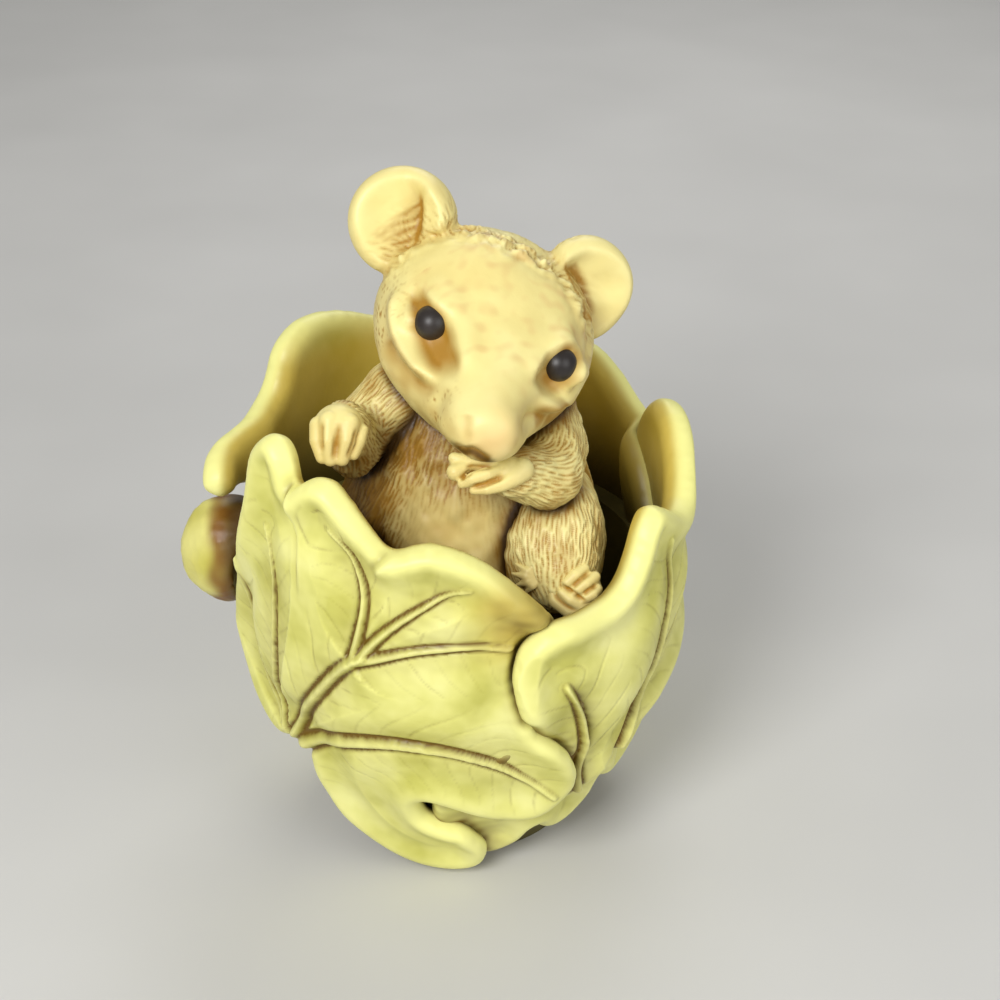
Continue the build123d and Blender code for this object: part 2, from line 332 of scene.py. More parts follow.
def stained_resin(name, stops, raised, blush, stain, deep, roughness):
    """Cast resin, stained by hand: the body colour is worn bright and lit with painted highlight on what
    stands proud, blushed in places, browned in its hollows by stain and by painted shade, and darkened nearly
    black by painted shade in its depths, where the point attributes say so."""
    made, coords, colour, shader = clouded(name, CLOUD_MM, 3, stops, roughness)
    tree = made.node_tree
    layers = (("raised", raised), ("blush", blush), ("stain", stain), ("deep", deep))
    for column, (layer, code) in enumerate(layers, 2):
        amount = add_node(tree, "ShaderNodeAttribute", (column, 1), {"attribute_name": layer}).outputs["Fac"]
        colour = add_node(
            tree, "ShaderNodeMix", (column, 0), {"data_type": "RGBA"}, {0: amount, 6: colour, 7: linear(code)}
        ).outputs[2]
    grain = add_node(
        tree, "ShaderNodeTexNoise", (5, 2),
        inputs={"Vector": coords, "Scale": MM_PER_METRE / GRAIN_MM, "Detail": 2},
    ).outputs["Fac"]
    bumps = add_node(
        tree, "ShaderNodeBump", (6, 2),
        inputs={"Height": grain, "Strength": GRAIN_STRENGTH, "Distance": GRAIN_HEIGHT_MM / MM_PER_METRE},
    )
    tree.links.new(colour, shader.inputs["Base Color"])
    tree.links.new(bumps.outputs["Normal"], shader.inputs["Normal"])
    shader.inputs["Specular IOR Level"].default_value = RESIN_SPECULAR
    return made


# Cast resin under a pale yellow-green wash: waxy half-gloss rims worn light and lit with painted highlight,
# ochre blushes, umber in the grooves, near-black painted shade deep in the cup
leaf_resin = stained_resin(
    "leaf_resin", [(0.35, "#C6C35F"), (0.5, "#DEDB7F"), (0.68, "#ECE998")],
    "#F3F099", "#C4A434", "#6A5012", "#2E2406", 0.42,
)
# Cast resin left cream: soft half-gloss fur with tan between its strokes, ridges lit with painted highlight,
# dark brown painted shade where parts meet, and a rosy nose
mouse_resin = stained_resin(
    "mouse_resin", [(0.35, "#E4D286"), (0.5, "#EBDC90"), (0.7, "#F0E49C")],
    "#F8F0AE", "#E8B87C", "#A87C2A", "#3A260A", 0.44,
)
# Cast resin washed olive: smooth and a little glossier, with a brown blot where the nut meets the leaf
nut_resin = stained_resin(
    "nut_resin", [(0.35, "#C6BE58"), (0.5, "#D4CC68"), (0.7, "#DED678")],
    "#E8E294", "#D8B070", "#80561A", "#3A240C", 0.4,
)
# Cast resin coloured nearly black as painted shade, matt, so that the cup looks deep in shadow
bowl_resin = stained_resin(
    "bowl_resin", [(0.35, "#4A431C"), (0.5, "#5A5224"), (0.7, "#665E2C")],
    "#7A7238", "#D8B070", "#2E280E", "#1A160A", 0.6,
)
# Black paint brushed on a small ball: dark, with one soft highlight; clouds 2.5 mm wide
eye_bead = clouded("eye_bead", 2.5, 2, [(0.3, "#1C1715"), (0.7, "#2E2723")], 0.42)[0]
# Uncoated card under the figurine: flat pale grey with hardly any mottle; clouds 33 mm wide
floor_paper = clouded("floor_paper", 100 / 3, 2, [(0.3, "#C6C5C2"), (0.7, "#CCCBC8")], 0.8)[0]


# Leaves

CUP_RADIUS = 19.9
CUP_HEIGHT = 43.0
LEAF_THICKNESS = 2.6
WALL_HEIGHT_SHARES = (0.0, 0.05, 0.10, 0.16, 0.24, 0.34, 0.46, 0.58, 0.72, 0.86, 1.08)
WALL_RADIUS_SHARES = (0.635, 0.685, 0.735, 0.8, 0.87, 0.94, 0.985, 1.0, 0.985, 0.955, 0.93)
PROFILE_SPOTS, PROFILE_ROUNDS = 465, 60
# Spacing of a leaf's first grid, and the room left round its outline
SHEET_STEP, SHEET_MARGIN = 0.45, 0.6
ROUNDED_EDGE = LEAF_THICKNESS * 0.62
RIB_HEIGHT, GROOVE_DEPTH = 0.62, 0.4
VALLEY_DEPTH, VALLEY_WIDTH = 0.62, 2.2
SIDE_VEIN_PITCH, SIDE_VEIN_DEPTH, SIDE_VEIN_WIDTH = 2.3, 0.09, 0.11
RIM_ROLL = 0.42
SWELL_HEIGHT, SWELL_LENGTH = 0.12, 11
# Reach of the rim highlight, worn and painted, and strength of the painted shade along the rims of leaves
# lying over another
RIM_SHINE_REACH, OVERLAP_SHADE = 1.3, 0.85
# No leaf reaches farther than this to the right, front or back, or to the left, where the tongue is
SIDE_LIMIT, LEFT_LIMIT = 19.86, 23.0

profile_z = np.linspace(0, CUP_HEIGHT * WALL_HEIGHT_SHARES[-1], PROFILE_SPOTS)
profile_r = np.interp(
    profile_z, np.array(WALL_HEIGHT_SHARES) * CUP_HEIGHT, np.array(WALL_RADIUS_SHARES) * CUP_RADIUS
)
for _ in range(PROFILE_ROUNDS):
    profile_r[1:-1] = 0.25 * profile_r[:-2] + 0.5 * profile_r[1:-1] + 0.25 * profile_r[2:]
profile_run = np.concatenate([[0], np.cumsum(np.hypot(np.diff(profile_z), np.diff(profile_r)))])


def wall_r(z):
    """Outside radius of the leaf wall at a height."""
    return np.interp(z, profile_z, profile_r)


def to_sheet(az, z, facing):
    """Flat place on the unrolled wall of an azimuth in degrees and a height."""
    az, z = np.asarray(az, float), np.asarray(z, float)
    return np.stack([np.radians(az - facing) * wall_r(z), np.interp(z, profile_z, profile_run)], -1)


def from_sheet(q, facing):
    """Azimuth and height of a flat place."""
    z = np.interp(q[:, 1], profile_run, profile_z)
    return np.degrees(q[:, 0] / wall_r(z)) + facing, z


def near_azimuth(az, facing):
    """The same azimuth, written within half a turn of the facing one."""
    return facing + (az - facing + 180) % 360 - 180


def sheet_line(spots, facing, steps=8, closed=False):
    """Curve on the unrolled wall through (azimuth, height) spots."""
    az, z = zip(*spots)
    return curve_through(to_sheet(az, z, facing), steps, closed)


def inside(q, loop):
    """Which points lie inside a closed loop."""
    hit = np.zeros(len(q), bool)
    for (x0, y0), (x1, y1) in zip(loop, np.roll(loop, -1, axis=0)):
        if y0 == y1:
            continue
        crosses = (y0 > q[:, 1]) != (y1 > q[:, 1])
        hit ^= crosses & (q[:, 0] < (x1 - x0) * (q[:, 1] - y0) / (y1 - y0) + x0)
    return hit


def looped(loop):
    """A loop with its first point again at the end."""
    return np.vstack([loop, loop[:1]])


def depth_inside(q, loop):
    """Distance to a loop, positive inside it."""
    distance = nearest_on(q, looped(loop))[0]
    return np.where(inside(q, loop), distance, -distance)


def wall_place(az, z, radius):
    """Point at an azimuth, height and radius."""
    turn = np.radians(az)
    return np.stack([np.sin(turn) * radius, -np.cos(turn) * radius, z], -1)


def leaf_slab(name, facing, outline, lift, voxel):
    """A thick leaf with pillowed edges inside its outline on the wall."""
    loop = sheet_line(outline, facing, closed=True)
    low, high = loop.min(0) - SHEET_MARGIN, loop.max(0) + SHEET_MARGIN
    xs, ys = np.arange(low[0], high[0], SHEET_STEP), np.arange(low[1], high[1], SHEET_STEP)
    grid = np.stack(np.meshgrid(xs, ys), -1).reshape(-1, 2)
    edge, _, near, _ = nearest_on(grid, looped(loop))
    within = inside(grid, loop)
    keep = within | (edge < SHEET_STEP * 0.75)
    rows = [np.arange(len(xs) - 1) + j * len(xs) for j in range(len(ys) - 1)]
    corners = np.concatenate([np.stack([row, row + 1, row + len(xs) + 1, row + len(xs)], -1) for row in rows])
    quads = corners[keep[corners].all(1)]
    sides = np.concatenate([quads[:, [k, (k + 1) % 4]] for k in range(4)])
    pairs, counts = np.unique(np.sort(sides, axis=1), axis=0, return_counts=True)
    rim = keep & ~within
    rim[pairs[counts == 1]] = True
    grid[rim], edge[rim] = near[rim], 0
    used = np.unique(quads)
    index = -np.ones(len(grid), int)
    index[used] = np.arange(len(used))
    q, edge, quads = grid[used], edge[used], index[quads]
    half = LEAF_THICKNESS / 2 * np.sqrt(np.clip(1 - (1 - np.minimum(edge / ROUNDED_EDGE, 1)) ** 2, 0, 1))
    az, z = from_sheet(q, facing)
    middle = wall_r(z) - LEAF_THICKNESS / 2 + lift(az, z, edge)
    verts = np.concatenate([wall_place(az, z, middle + half), wall_place(az, z, middle - half)])
    obj = mesh_object(name, verts, np.concatenate([quads[:, ::-1], quads + len(q)]))
    merge_doubles(obj, 0.01)
    remesh(obj, voxel, 12)
    return obj


def vein_relief(q, facing, veins, edge):
    """Height and stain of ribs between grooves in a broad valley with slanting side veins, and the
    distance to the nearest rib in widths of that rib."""
    widths_away, away = np.full(len(q), FAR), np.full(len(q), FAR)
    slant, strength = np.zeros(len(q)), np.zeros(len(q))
    for number, (spots, start_width, end_width) in enumerate(veins):
        line = sheet_line(spots, facing)
        length = np.linalg.norm(np.diff(line, axis=0), axis=1).sum()
        distance, share, _, side = nearest_on(q, line)
        scaled = distance / (start_width + (end_width - start_width) * share)
        closer = scaled < widths_away
        run = share * length - 0.8 * distance + 0.25 * np.sin(distance * 1.3 + number)
        widths_away = np.where(closer, scaled, widths_away)
        away = np.where(closer, distance, away)
        slant = np.where(closer, run + 40 * number + 20 * side, slant)
        strength = np.where(closer, 1 - 0.75 * step(0.75, 1.0, share), strength)
    rib = np.exp(-((widths_away / 1.1) ** 2.6))
    groove = bump(widths_away - 1.6, 0.55) * strength
    valley = bump(away, VALLEY_WIDTH) * strength
    number = np.floor(slant / SIDE_VEIN_PITCH)
    amount = 0.35 + 0.65 * np.abs(np.sin(number * 12.9898) * 43758.5453 % 1.0)
    thin = bump(slant - (number + 0.5) * SIDE_VEIN_PITCH, SIDE_VEIN_WIDTH) * amount
    thin *= step(2.2, 4.0, widths_away) * step(6.5, 3.0, away) * step(1.0, 2.4, edge)
    height = RIB_HEIGHT * rib - GROOVE_DEPTH * groove - VALLEY_DEPTH * valley - SIDE_VEIN_DEPTH * thin
    return height, 0.95 * groove + 0.25 * thin + 0.26 * valley, widths_away


def crease_relief(q, facing, creases):
    """Height and painted shadow where one part of a leaf folds over the next: high on the left, low on the
    right.
    """
    height, stain = np.zeros(len(q)), np.zeros(len(q))
    for spots, rise, width in creases:
        distance, share, _, side = nearest_on(q, sheet_line(spots, facing))
        fade = step(1.0, 0.45, share)
        high = step(-0.35, 0.35, distance * side)
        fall = (1 - high) * 0.8 * np.exp(-distance / (0.6 * width))
        height += rise * fade * (high * np.exp(-distance / width) - fall)
        # Painted shadow that the fold casts on its low side
        stain += 0.25 * fade * bump(distance * side + 0.3, 0.4)
    return height, stain


def overlap(az, z, others):
    """How far a leaf is pushed in under others between two heights, and the painted shade along their rims.
    """
    push, stain = np.zeros(len(z)), np.zeros(len(z))
    for facing, outline, low, high, depth, reach in others:
        place = to_sheet(near_azimuth(az, facing), z, facing)
        covered = depth_inside(place, sheet_line(outline, facing, 5, True))
        ruled = step(low[0], low[1], z) * step(high[0], high[1], z)
        push += depth * step(-0.8, 0.8, covered) * ruled
        # Painted shade on this leaf along the rims of the leaves over it
        stain += OVERLAP_SHADE * ruled * np.exp(-np.abs(np.minimum(covered, 0)) / reach)
    return push, stain


def dress_leaf(obj, facing, outline, lift, veins, creases, others, patches):
    """Raises veins between grooves and rolls the rim; stains the grooves and paints shade on what lies deep
    in the cup, beside folds and under other leaves.
    """
    p = points(obj)
    z = p[:, 2]
    az = near_azimuth(np.degrees(np.arctan2(p[:, 0], -p[:, 1])), facing)
    radius = np.hypot(p[:, 0], p[:, 1])
    q = to_sheet(az, z, facing)
    edge = depth_inside(q, sheet_line(outline, facing, 5, True))
    side = (radius - wall_r(z) + LEAF_THICKNESS / 2 - lift(az, z, edge)) / (LEAF_THICKNESS / 2)
    outer = step(-0.2, 0.5, side)
    vein_height, vein_stain, widths_away = vein_relief(q, facing, veins, edge)
    crease_height, crease_shadow = crease_relief(q, facing, creases)
    push, under_rim_shade = overlap(az, z, others)
    height = vein_height + RIM_ROLL * (bump(edge - 1.0, 1.2) - bump(edge - 3.8, 1.7)) + crease_height
    height += SWELL_HEIGHT * noise(p, SWELL_LENGTH, 3) * step(0, 3, edge)
    # Stain along the veins, with painted shadow beside the folds and painted shade under the rims of the
    # leaves above
    stain = vein_stain + crease_shadow + under_rim_shade
    ochre = np.zeros(len(p))
    for spot_az, spot_z, size, amount in patches:
        spot = to_sheet(spot_az, spot_z, facing)
        stain += 0.55 * amount * around(q, spot, size) * np.clip(0.85 + 0.2 * noise(p, 2.4, 5), 0, 1.3)
        ochre = np.maximum(ochre, around(q, spot, 1.9 * size))
    slope = np.interp(z, profile_z, np.gradient(profile_r, profile_z))
    tilt = np.hypot(1, slope)
    new = p.copy()
    new[:, :2] += p[:, :2] / radius[:, None] * (height * outer / tilt - push)[:, None]
    new[:, 2] -= height * outer * slope / tilt
    room = np.minimum(1, SIDE_LIMIT / np.maximum(np.abs(new[:, 1]), 1))
    reach = np.where(new[:, 0] > 0, SIDE_LIMIT, LEFT_LIMIT)
    new[:, :2] *= np.minimum(room, reach / np.maximum(np.abs(new[:, 0]), 1))[:, None]
    new[:, 2] = np.maximum(new[:, 2], 0.0)
    move_points(obj, new)
    apply_modifier(obj, "SMOOTH", factor=0.5, iterations=2)
    rough = points(obj)
    even = blur(edge_array(obj), rough, 4)
    move_points(obj, rough + (outer * bump(widths_away, 2.2))[:, None] * (even - rough))
    hollow = relief(obj, 14)
    mottle = 0.88 + 0.2 * noise(p, 1.4, 9)
    inward = 1 - step(-0.6, 0.3, side)
    # Ridges and rims are worn light and lit with painted highlight; the inner faces are tinted gold near the
    # rims and darkened with painted shade deeper in the cup
    store_looks(
        obj,
        stain=(stain * outer + np.clip(-hollow * 5 - 0.15, 0, 0.6)) * mottle,
        raised=0.75 * bump(edge, RIM_SHINE_REACH) + hollow * 4,
        blush=0.8 * inward * step(43, 38, z) + 0.7 * ochre,
        deep=np.minimum(inward * (0.04 + 0.9 * step(35, 25, z)), 0.95),
    )


def flare(az, z, edge):
    """The rims lean out above the waist."""
    return 0.55 * step(26, 36, z) * bump(edge, 3.2)


def tongue_flare(az, z, edge):
    """The long tongue of the back left leaf stands out from the wall."""
    tip = step(-108, -90, az) * step(-66, -80, az) * step(27, 30.5, z)
    return flare(az, z, edge) + 1.9 * tip


def front_lift(az, z, edge):
    """The lower lobes of the front leaf lie over the right leaf."""
    return flare(az, z, edge) + 0.8 * step(12, 24, az) * step(20, 17, z) + 0.4 * step(9, 5, z)


def right_lift(az, z, edge):
    """The rolled left lobe of the right leaf lies over the front leaf."""
    return flare(az, z, edge) + 0.8 * step(38, 24, az) * step(18, 22, z)


def under_lift(az, z, edge):
    """The under leaf lies behind the two that cover it."""
    return np.full(len(z), -1.1)


# Outlines and veins are (azimuth in degrees, height) spots; a vein ends in its widths at root and tip,
# and a crease in its rise and width
FRONT_FACING, RIGHT_FACING, UNDER_FACING, BACK_LEFT_FACING, BACK_RIGHT_FACING = -32, 66, 55, -128, 142
FRONT_OUTLINE = [
    (-50, 13.2), (-62, 11.5), (-76, 14), (-83, 19), (-80, 24), (-74.5, 28.5), (-69, 32), (-64.5, 35.6),
    (-62.5, 38), (-60.5, 40.4), (-57, 42), (-52.5, 42.7), (-48.5, 42.4), (-45.5, 41.2), (-43.6, 39.4),
    (-41, 40.0), (-37, 40.8), (-33, 40.9), (-30, 40.5), (-27, 39.6), (-24, 38.6), (-21, 37.5),
    (-18, 36.5), (-15.5, 36.1), (-11, 36.7), (-5, 37.0), (4, 36.0), (11, 34.3), (17, 32.3), (22, 30.4),
    (26.5, 28), (26, 25), (22, 22.8), (18.5, 20.9), (19, 19.6), (22, 18.3), (26, 17.0), (29.5, 15.4),
    (32, 13.4), (32.5, 11.6), (30, 10.0), (25, 8.7), (18, 8.1), (10, 8.5), (3, 9.4), (-4, 10.5),
    (-9.5, 11.0), (-11.8, 10.2), (-10.5, 8.7), (-5, 7.6), (1, 6.9), (6, 5.3), (9.5, 3.6), (9, 1.7),
    (4, 0.7), (-6, 0.5), (-18, 1.0), (-30, 2.4), (-42, 5.2), (-47.5, 8.8),
]
RIGHT_OUTLINE = [
    (13.5, 22.6), (12.6, 25.2), (14.5, 27.8), (19, 29.1), (24, 29.6), (31, 29.5), (38, 29.6),
    (43.5, 30.6), (47.5, 32.6), (51, 34.7), (56, 35.8), (63, 34.6), (70, 33.1), (78, 33.0), (87, 34.8),
    (97, 37), (107, 37.4), (115, 35.7), (120, 32.2), (116, 26), (102, 19), (84, 17), (64, 15), (50, 12),
    (40, 9), (32, 8.5), (24, 11.5), (19, 15.5), (15.5, 20),
]
UNDER_OUTLINE = [
    (10, 17), (30, 21.5), (60, 23.5), (90, 23.5), (100, 18), (92, 14.5), (80, 11), (70, 8.2), (61, 6.8),
    (55, 7.0), (51.5, 8.2), (51, 6.0), (47, 3.9), (40, 3.0), (33, 3.2), (28, 4.4), (24, 2.8), (17, 1.8),
    (10, 1.4), (0, 2.0), (-10, 5), (-8, 11),
]
BACK_LEFT_OUTLINE = [
    (-178, 26), (-176, 34.4), (-164, 38.5), (-150, 40.8), (-138, 42), (-127, 42), (-119, 40.4),
    (-115, 37.8), (-111, 36.6), (-103, 35.8), (-95, 35.4), (-87, 34.4), (-84, 32.8), (-87, 31.2),
    (-98, 30.4), (-107, 28.6), (-103, 25), (-91, 22.4), (-82, 18), (-80, 13), (-84, 7), (-98, 2.2),
    (-130, 0.9), (-160, 2.6), (-176, 13),
]
BACK_RIGHT_OUTLINE = [
    (98, 4.3), (90, 13), (92, 21.5), (104, 29), (116, 32.6), (126, 34.6), (134, 37), (142, 38.4),
    (152, 38), (164, 35.2), (176, 33), (188, 30), (192, 17), (184, 5.2), (160, 1.3), (125, 0.9),
]
FRONT_VEINS = [
    ([(-53.5, 12.8), (-50, 14.5), (-44, 17.8), (-35, 22.0), (-28, 24.9), (-23, 26.4)], 0.42, 0.36),
    ([(-26, 25.6), (-24, 28.5), (-23, 30.8), (-24, 32.9), (-27, 35.3), (-32, 37.0)], 0.33, 0.12),
    ([(-54, 12.5), (-57, 16.8), (-54, 21.7), (-52, 26.1), (-52, 30.7), (-55, 34.5)], 0.26, 0.1),
    ([(-24, 26.2), (-17, 29.0), (-8, 31.5), (-1, 33.0), (3, 33.4)], 0.33, 0.12),
    ([(-25, 25.6), (-13, 27.2), (-4, 27.9), (5, 28.1), (13, 27.7)], 0.33, 0.16),
    ([(-53, 12.7), (-34, 15.9), (-19, 17.4), (-8, 17.5), (2, 16.6), (13, 14.5), (25, 11.3)], 0.58, 0.2),
    ([(-57, 14.0), (-66, 18.5), (-71, 23.5), (-71, 28.5)], 0.22, 0.1),
]
FRONT_CREASES = [
    ([(-43.6, 39.6), (-42.5, 36.8), (-41, 33.5), (-41, 29)], 0.55, 2.2),
    ([(-15.5, 36.1), (-18.5, 35.0), (-21, 33.4)], 0.45, 1.4),
]
RIGHT_VEINS = [
    ([(49, 13), (56, 18.0), (61, 21.3), (64, 25.5), (65, 28.5), (62, 32.0)], 0.33, 0.12),
    ([(36, 9.8), (34.7, 12.5), (35, 15.2), (33, 18.0), (29.5, 20.9), (25.5, 23.5)], 0.38, 0.2),
    ([(62, 19), (76, 22.5), (88, 26.5), (97, 32)], 0.28, 0.12),
]
RIGHT_CREASES = [([(35, 16.5), (32.5, 19.4), (28.5, 22.1), (24, 24.2)], 0.5, 1.5)]
UNDER_VEINS = [([(8, 10), (30, 11), (52, 12), (74, 16)], 0.25, 0.12)]
BACK_LEFT_VEINS = [
    ([(-140, 4), (-139, 14), (-136, 24), (-133, 34), (-131, 39)], 0.42, 0.15),
    ([(-139, 13), (-122, 19), (-106, 21.5), (-90, 20.5)], 0.32, 0.12),
    ([(-138, 20), (-122, 27), (-110, 31), (-96, 32)], 0.32, 0.12),
    ([(-139, 16), (-153, 22), (-164, 28), (-170, 35)], 0.32, 0.12),
]
BACK_RIGHT_VEINS = [
    ([(148, 3), (147, 12), (144, 22), (142, 31), (142, 35.5)], 0.4, 0.15),
    ([(147, 10), (130, 16), (114, 21), (104, 24)], 0.3, 0.12),
    ([(146, 16), (132, 23), (122, 28), (118, 31)], 0.3, 0.12),
    ([(147, 12), (162, 19), (174, 24), (182, 28)], 0.3, 0.12),
]
BOTTOM, TOP = (-2, -1), (99, 98)
FRONT, RIGHT = (FRONT_FACING, FRONT_OUTLINE), (RIGHT_FACING, RIGHT_OUTLINE)
BACK_LEFT = (BACK_LEFT_FACING, BACK_LEFT_OUTLINE)
# For each leaf: node, facing, outline, lift, veins, creases, the leaves over it with the heights where
# they rule, how deep they press it and how far their painted shade reaches, ochre patches as azimuth, height,
# size and amount, and the voxel size
leaves = (
    ("front_leaf", *FRONT, front_lift, FRONT_VEINS, FRONT_CREASES,
     [(*RIGHT, (19.6, 21.0), TOP, 1.1, 0.5)],
     [(13, 29.6, 1.4, 0.75), (10.5, 31.8, 1.3, 0.4), (15.5, 31.2, 1.7, 0.55), (20, 30.8, 1.6, 0.6)], 0.19),
    ("right_leaf", *RIGHT, right_lift, RIGHT_VEINS, RIGHT_CREASES,
     [(*FRONT, BOTTOM, (21.0, 19.6), 1.1, 0.5)], [], 0.17),
    ("under_leaf", UNDER_FACING, UNDER_OUTLINE, under_lift, UNDER_VEINS, [],
     [(*FRONT, BOTTOM, TOP, 0.0, 1.3), (*RIGHT, BOTTOM, TOP, 0.0, 0.7)], [], 0.2),
    ("back_left_leaf", *BACK_LEFT, tongue_flare, BACK_LEFT_VEINS, [],
     [(*FRONT, BOTTOM, TOP, 1.5, 0.5)], [], 0.2),
    ("back_right_leaf", BACK_RIGHT_FACING, BACK_RIGHT_OUTLINE, flare, BACK_RIGHT_VEINS, [],
     [(*RIGHT, BOTTOM, TOP, 1.5, 0.5), (*BACK_LEFT, BOTTOM, TOP, 1.5, 0.5)], [], 0.2),
)
for node, facing, outline, lift, veins, creases, others, patches, voxel in leaves:
    leaf = leaf_slab(node + "_skin", facing, outline, lift, voxel)
    dress_leaf(leaf, facing, outline, lift, veins, creases, others, patches)
    finish_piece(leaf, [node], leaf_resin)


# Mouse

HEAD_MIDDLE = np.array([1.8, -1.0, 46.6])
HEAD_FORWARD = np.array([0.142, -0.983, 0.119])
HEAD_FORWARD /= np.linalg.norm(HEAD_FORWARD)
HEAD_ACROSS = np.array([0.913, 0.073, -0.400])
HEAD_ACROSS -= (HEAD_ACROSS @ HEAD_FORWARD) * HEAD_FORWARD
HEAD_ACROSS /= np.linalg.norm(HEAD_ACROSS)
HEAD_UP = np.cross(HEAD_ACROSS, HEAD_FORWARD)
HEAD_UP *= np.sign(HEAD_UP[2])
HEAD_AXES = np.stack([HEAD_ACROSS, HEAD_UP, HEAD_FORWARD])
# The face, paws and feet are drawn as seen from the front and 30 degrees above
FRONT_RIGHT = np.array([1.0, 0, 0])
FRONT_UP = np.array([0, 0.5, 0.866])
FRONT_OUT = np.array([0, -0.866, 0.5])
STROKE_STEP = 0.16
MOST_STROKES, LEAST_STROKE_POINTS = 30000, 5


def head_local(p):
    """Across, up and forward in the head's own frame."""
    return (p - HEAD_MIDDLE) @ HEAD_AXES.T


def head_world(q):
    """Point in space of a place in the head's own frame."""
    return np.asarray(q, float) @ HEAD_AXES + HEAD_MIDDLE


def front_view(p):
    """Across and up of points as seen from the front."""
    return np.stack([p @ FRONT_RIGHT, p @ FRONT_UP], -1)


def ends_faded(share, portion):
    """1 along a line, fading to 0 over the given portion at either end."""
    return step(0, portion, share) * step(1, 1 - portion, share)


def fur(obj, flow, mask, gap, length, depth, width, seed, wobble=0.14):
    """Carves short strokes that follow a flow, kept a gap apart, and returns how deep each point is cut."""
    p = points(obj)
    n = normals(obj)
    random = np.random.default_rng(seed)
    weight = mask(p)
    order = random.permutation(len(p))
    order = order[weight[order] > 0.08][:MOST_STROKES]
    way = flow(p)
    way = way / np.maximum(np.linalg.norm(way, axis=1), 1e-6)[:, None]
    way = way + wobble * np.stack([noise(p, 2.2, seed + k) for k in range(3)], -1)
    way -= (way * n).sum(1)[:, None] * n
    way /= np.maximum(np.linalg.norm(way, axis=1), 1e-6)[:, None]
    tree = KDTree(len(p))
    for i, place in enumerate(p):
        tree.insert(place, i)
    tree.balance()
    taken = set()
    carved = np.zeros(len(p))
    cells = (p / gap).round().astype(int)
    for i in order:
        if tuple(cells[i]) in taken:
            continue
        count = max(LEAST_STROKE_POINTS, int(length * random.uniform(0.6, 1.3) / STROKE_STEP))
        stroke, crossed = [p[i]], [tuple(cells[i])]
        here, spot = i, p[i]
        for _ in range(count):
            spot = spot + way[here] * STROKE_STEP
            here = tree.find(spot)[1]
            if tuple(cells[here]) in taken:
                break
            stroke.append(spot)
            crossed.append(tuple(cells[here]))
        if len(stroke) < LEAST_STROKE_POINTS:
            continue
        taken.update(crossed)
        strength = random.uniform(0.6, 1.0) * min(1.0, weight[i])
        for k, spot in enumerate(stroke):
            fade = strength * math.sin(math.pi * (k + 0.6) / (len(stroke) + 0.2)) ** 0.5
            for _, j, away in tree.find_range(spot, 2 * width):
                carved[j] = max(carved[j], fade * math.exp(-((away / width) ** 2)))
    move_points(obj, p - n * (depth * carved)[:, None])
    return carved


def shape_of(obj):
    """Corners, faces and box of an object, for distance queries."""
    p = points(obj)
    return [tuple(v) for v in p], [tuple(f.vertices) for f in obj.data.polygons], p.min(0), p.max(0)


def gap_to(p, shape, reach):
    """Distance of points to a shape, up to a reach."""
    corners, faces, low, high = shape
    tree = BVHTree.FromPolygons(corners, faces)
    out = np.full(len(p), reach)
    for i in np.where(((p > low - reach) & (p < high + reach)).all(1))[0]:
        away = tree.find_nearest(p[i], reach)[3]
        if away is not None:
            out[i] = away
    return out


# Head and ears, one skin

HEAD_VOXEL = 0.17
EYES = (("left_eye", (-5.55, 1.05, 6.1)), ("right_eye", (5.0, 1.6, 6.9)))
EYE_RADIUS = 1.42
SOCKET_FILLS = ((-5.4, 1.1, 5.4), (4.9, 1.5, 6.2))
SOCKET_FILL_RADIUS = 2.35
SOCKET_DEPTH = 0.95
CROWN_WIDTH = 1.6
# Lines on the face as across, up and forward in the head's frame: along each eye's hollow, over it,
# round its lid and under its cheek
LEFT_SOCKET = [
    (-7.7, 2.8, 3.8), (-7.1, 2.1, 5.1), (-6.2, 1.2, 6.4), (-5.3, 0.2, 8.0), (-4.4, -0.8, 9.5),
    (-3.7, -1.9, 11.2),
]
LEFT_BROW = [
    (-7.2, 3.9, 3.4), (-5.9, 3.8, 5.0), (-4.4, 3.0, 6.8), (-3.4, 2.0, 8.4), (-3.0, 0.8, 9.8),
    (-2.9, -0.8, 11.2),
]
LEFT_LID = [
    (-8.3, 2.4, 3.0), (-8.2, 0.9, 4.1), (-7.6, -0.5, 5.4), (-6.7, -1.5, 6.8), (-5.6, -2.0, 8.4),
    (-4.5, -2.4, 10.1),
]
LEFT_CHEEK = [(-8.0, -1.7, 4.2), (-7.2, -2.7, 5.5), (-6.1, -3.3, 7.0), (-5.1, -3.3, 8.8), (-4.1, -3.0, 10.7)]
RIGHT_SOCKET = [(6.9, 3.1, 4.7), (6.1, 2.3, 5.9), (5.3, 1.4, 7.2), (4.3, 0.5, 8.9), (3.2, -0.2, 10.4)]
RIGHT_BROW = [(6.4, 4.1, 4.4), (5.0, 3.9, 5.7), (3.8, 3.1, 7.2), (2.9, 1.9, 8.8), (2.1, 0.6, 10.4)]
RIGHT_LID = [
    (8.0, 2.4, 4.0), (8.1, 1.0, 4.4), (7.6, -0.4, 5.3), (6.4, -1.3, 7.0), (4.6, -1.5, 9.5),
    (3.3, -1.2, 11.3),
]
RIGHT_CHEEK = [(7.8, -1.9, 4.6), (7.0, -2.6, 6.0), (5.4, -2.6, 8.2), (3.6, -2.1, 11.0)]
MOUTH = [(-2.0, -5.7, 13.0), (-1.4, -5.5, 14.2), (-0.9, -5.0, 15.0), (-0.1, -5.1, 15.2), (0.8, -5.3, 15.0)]
NOSE_SIDE = [(-2.1, -2.6, 13.9), (-1.9, -3.6, 14.6), (-1.3, -4.5, 15.0)]
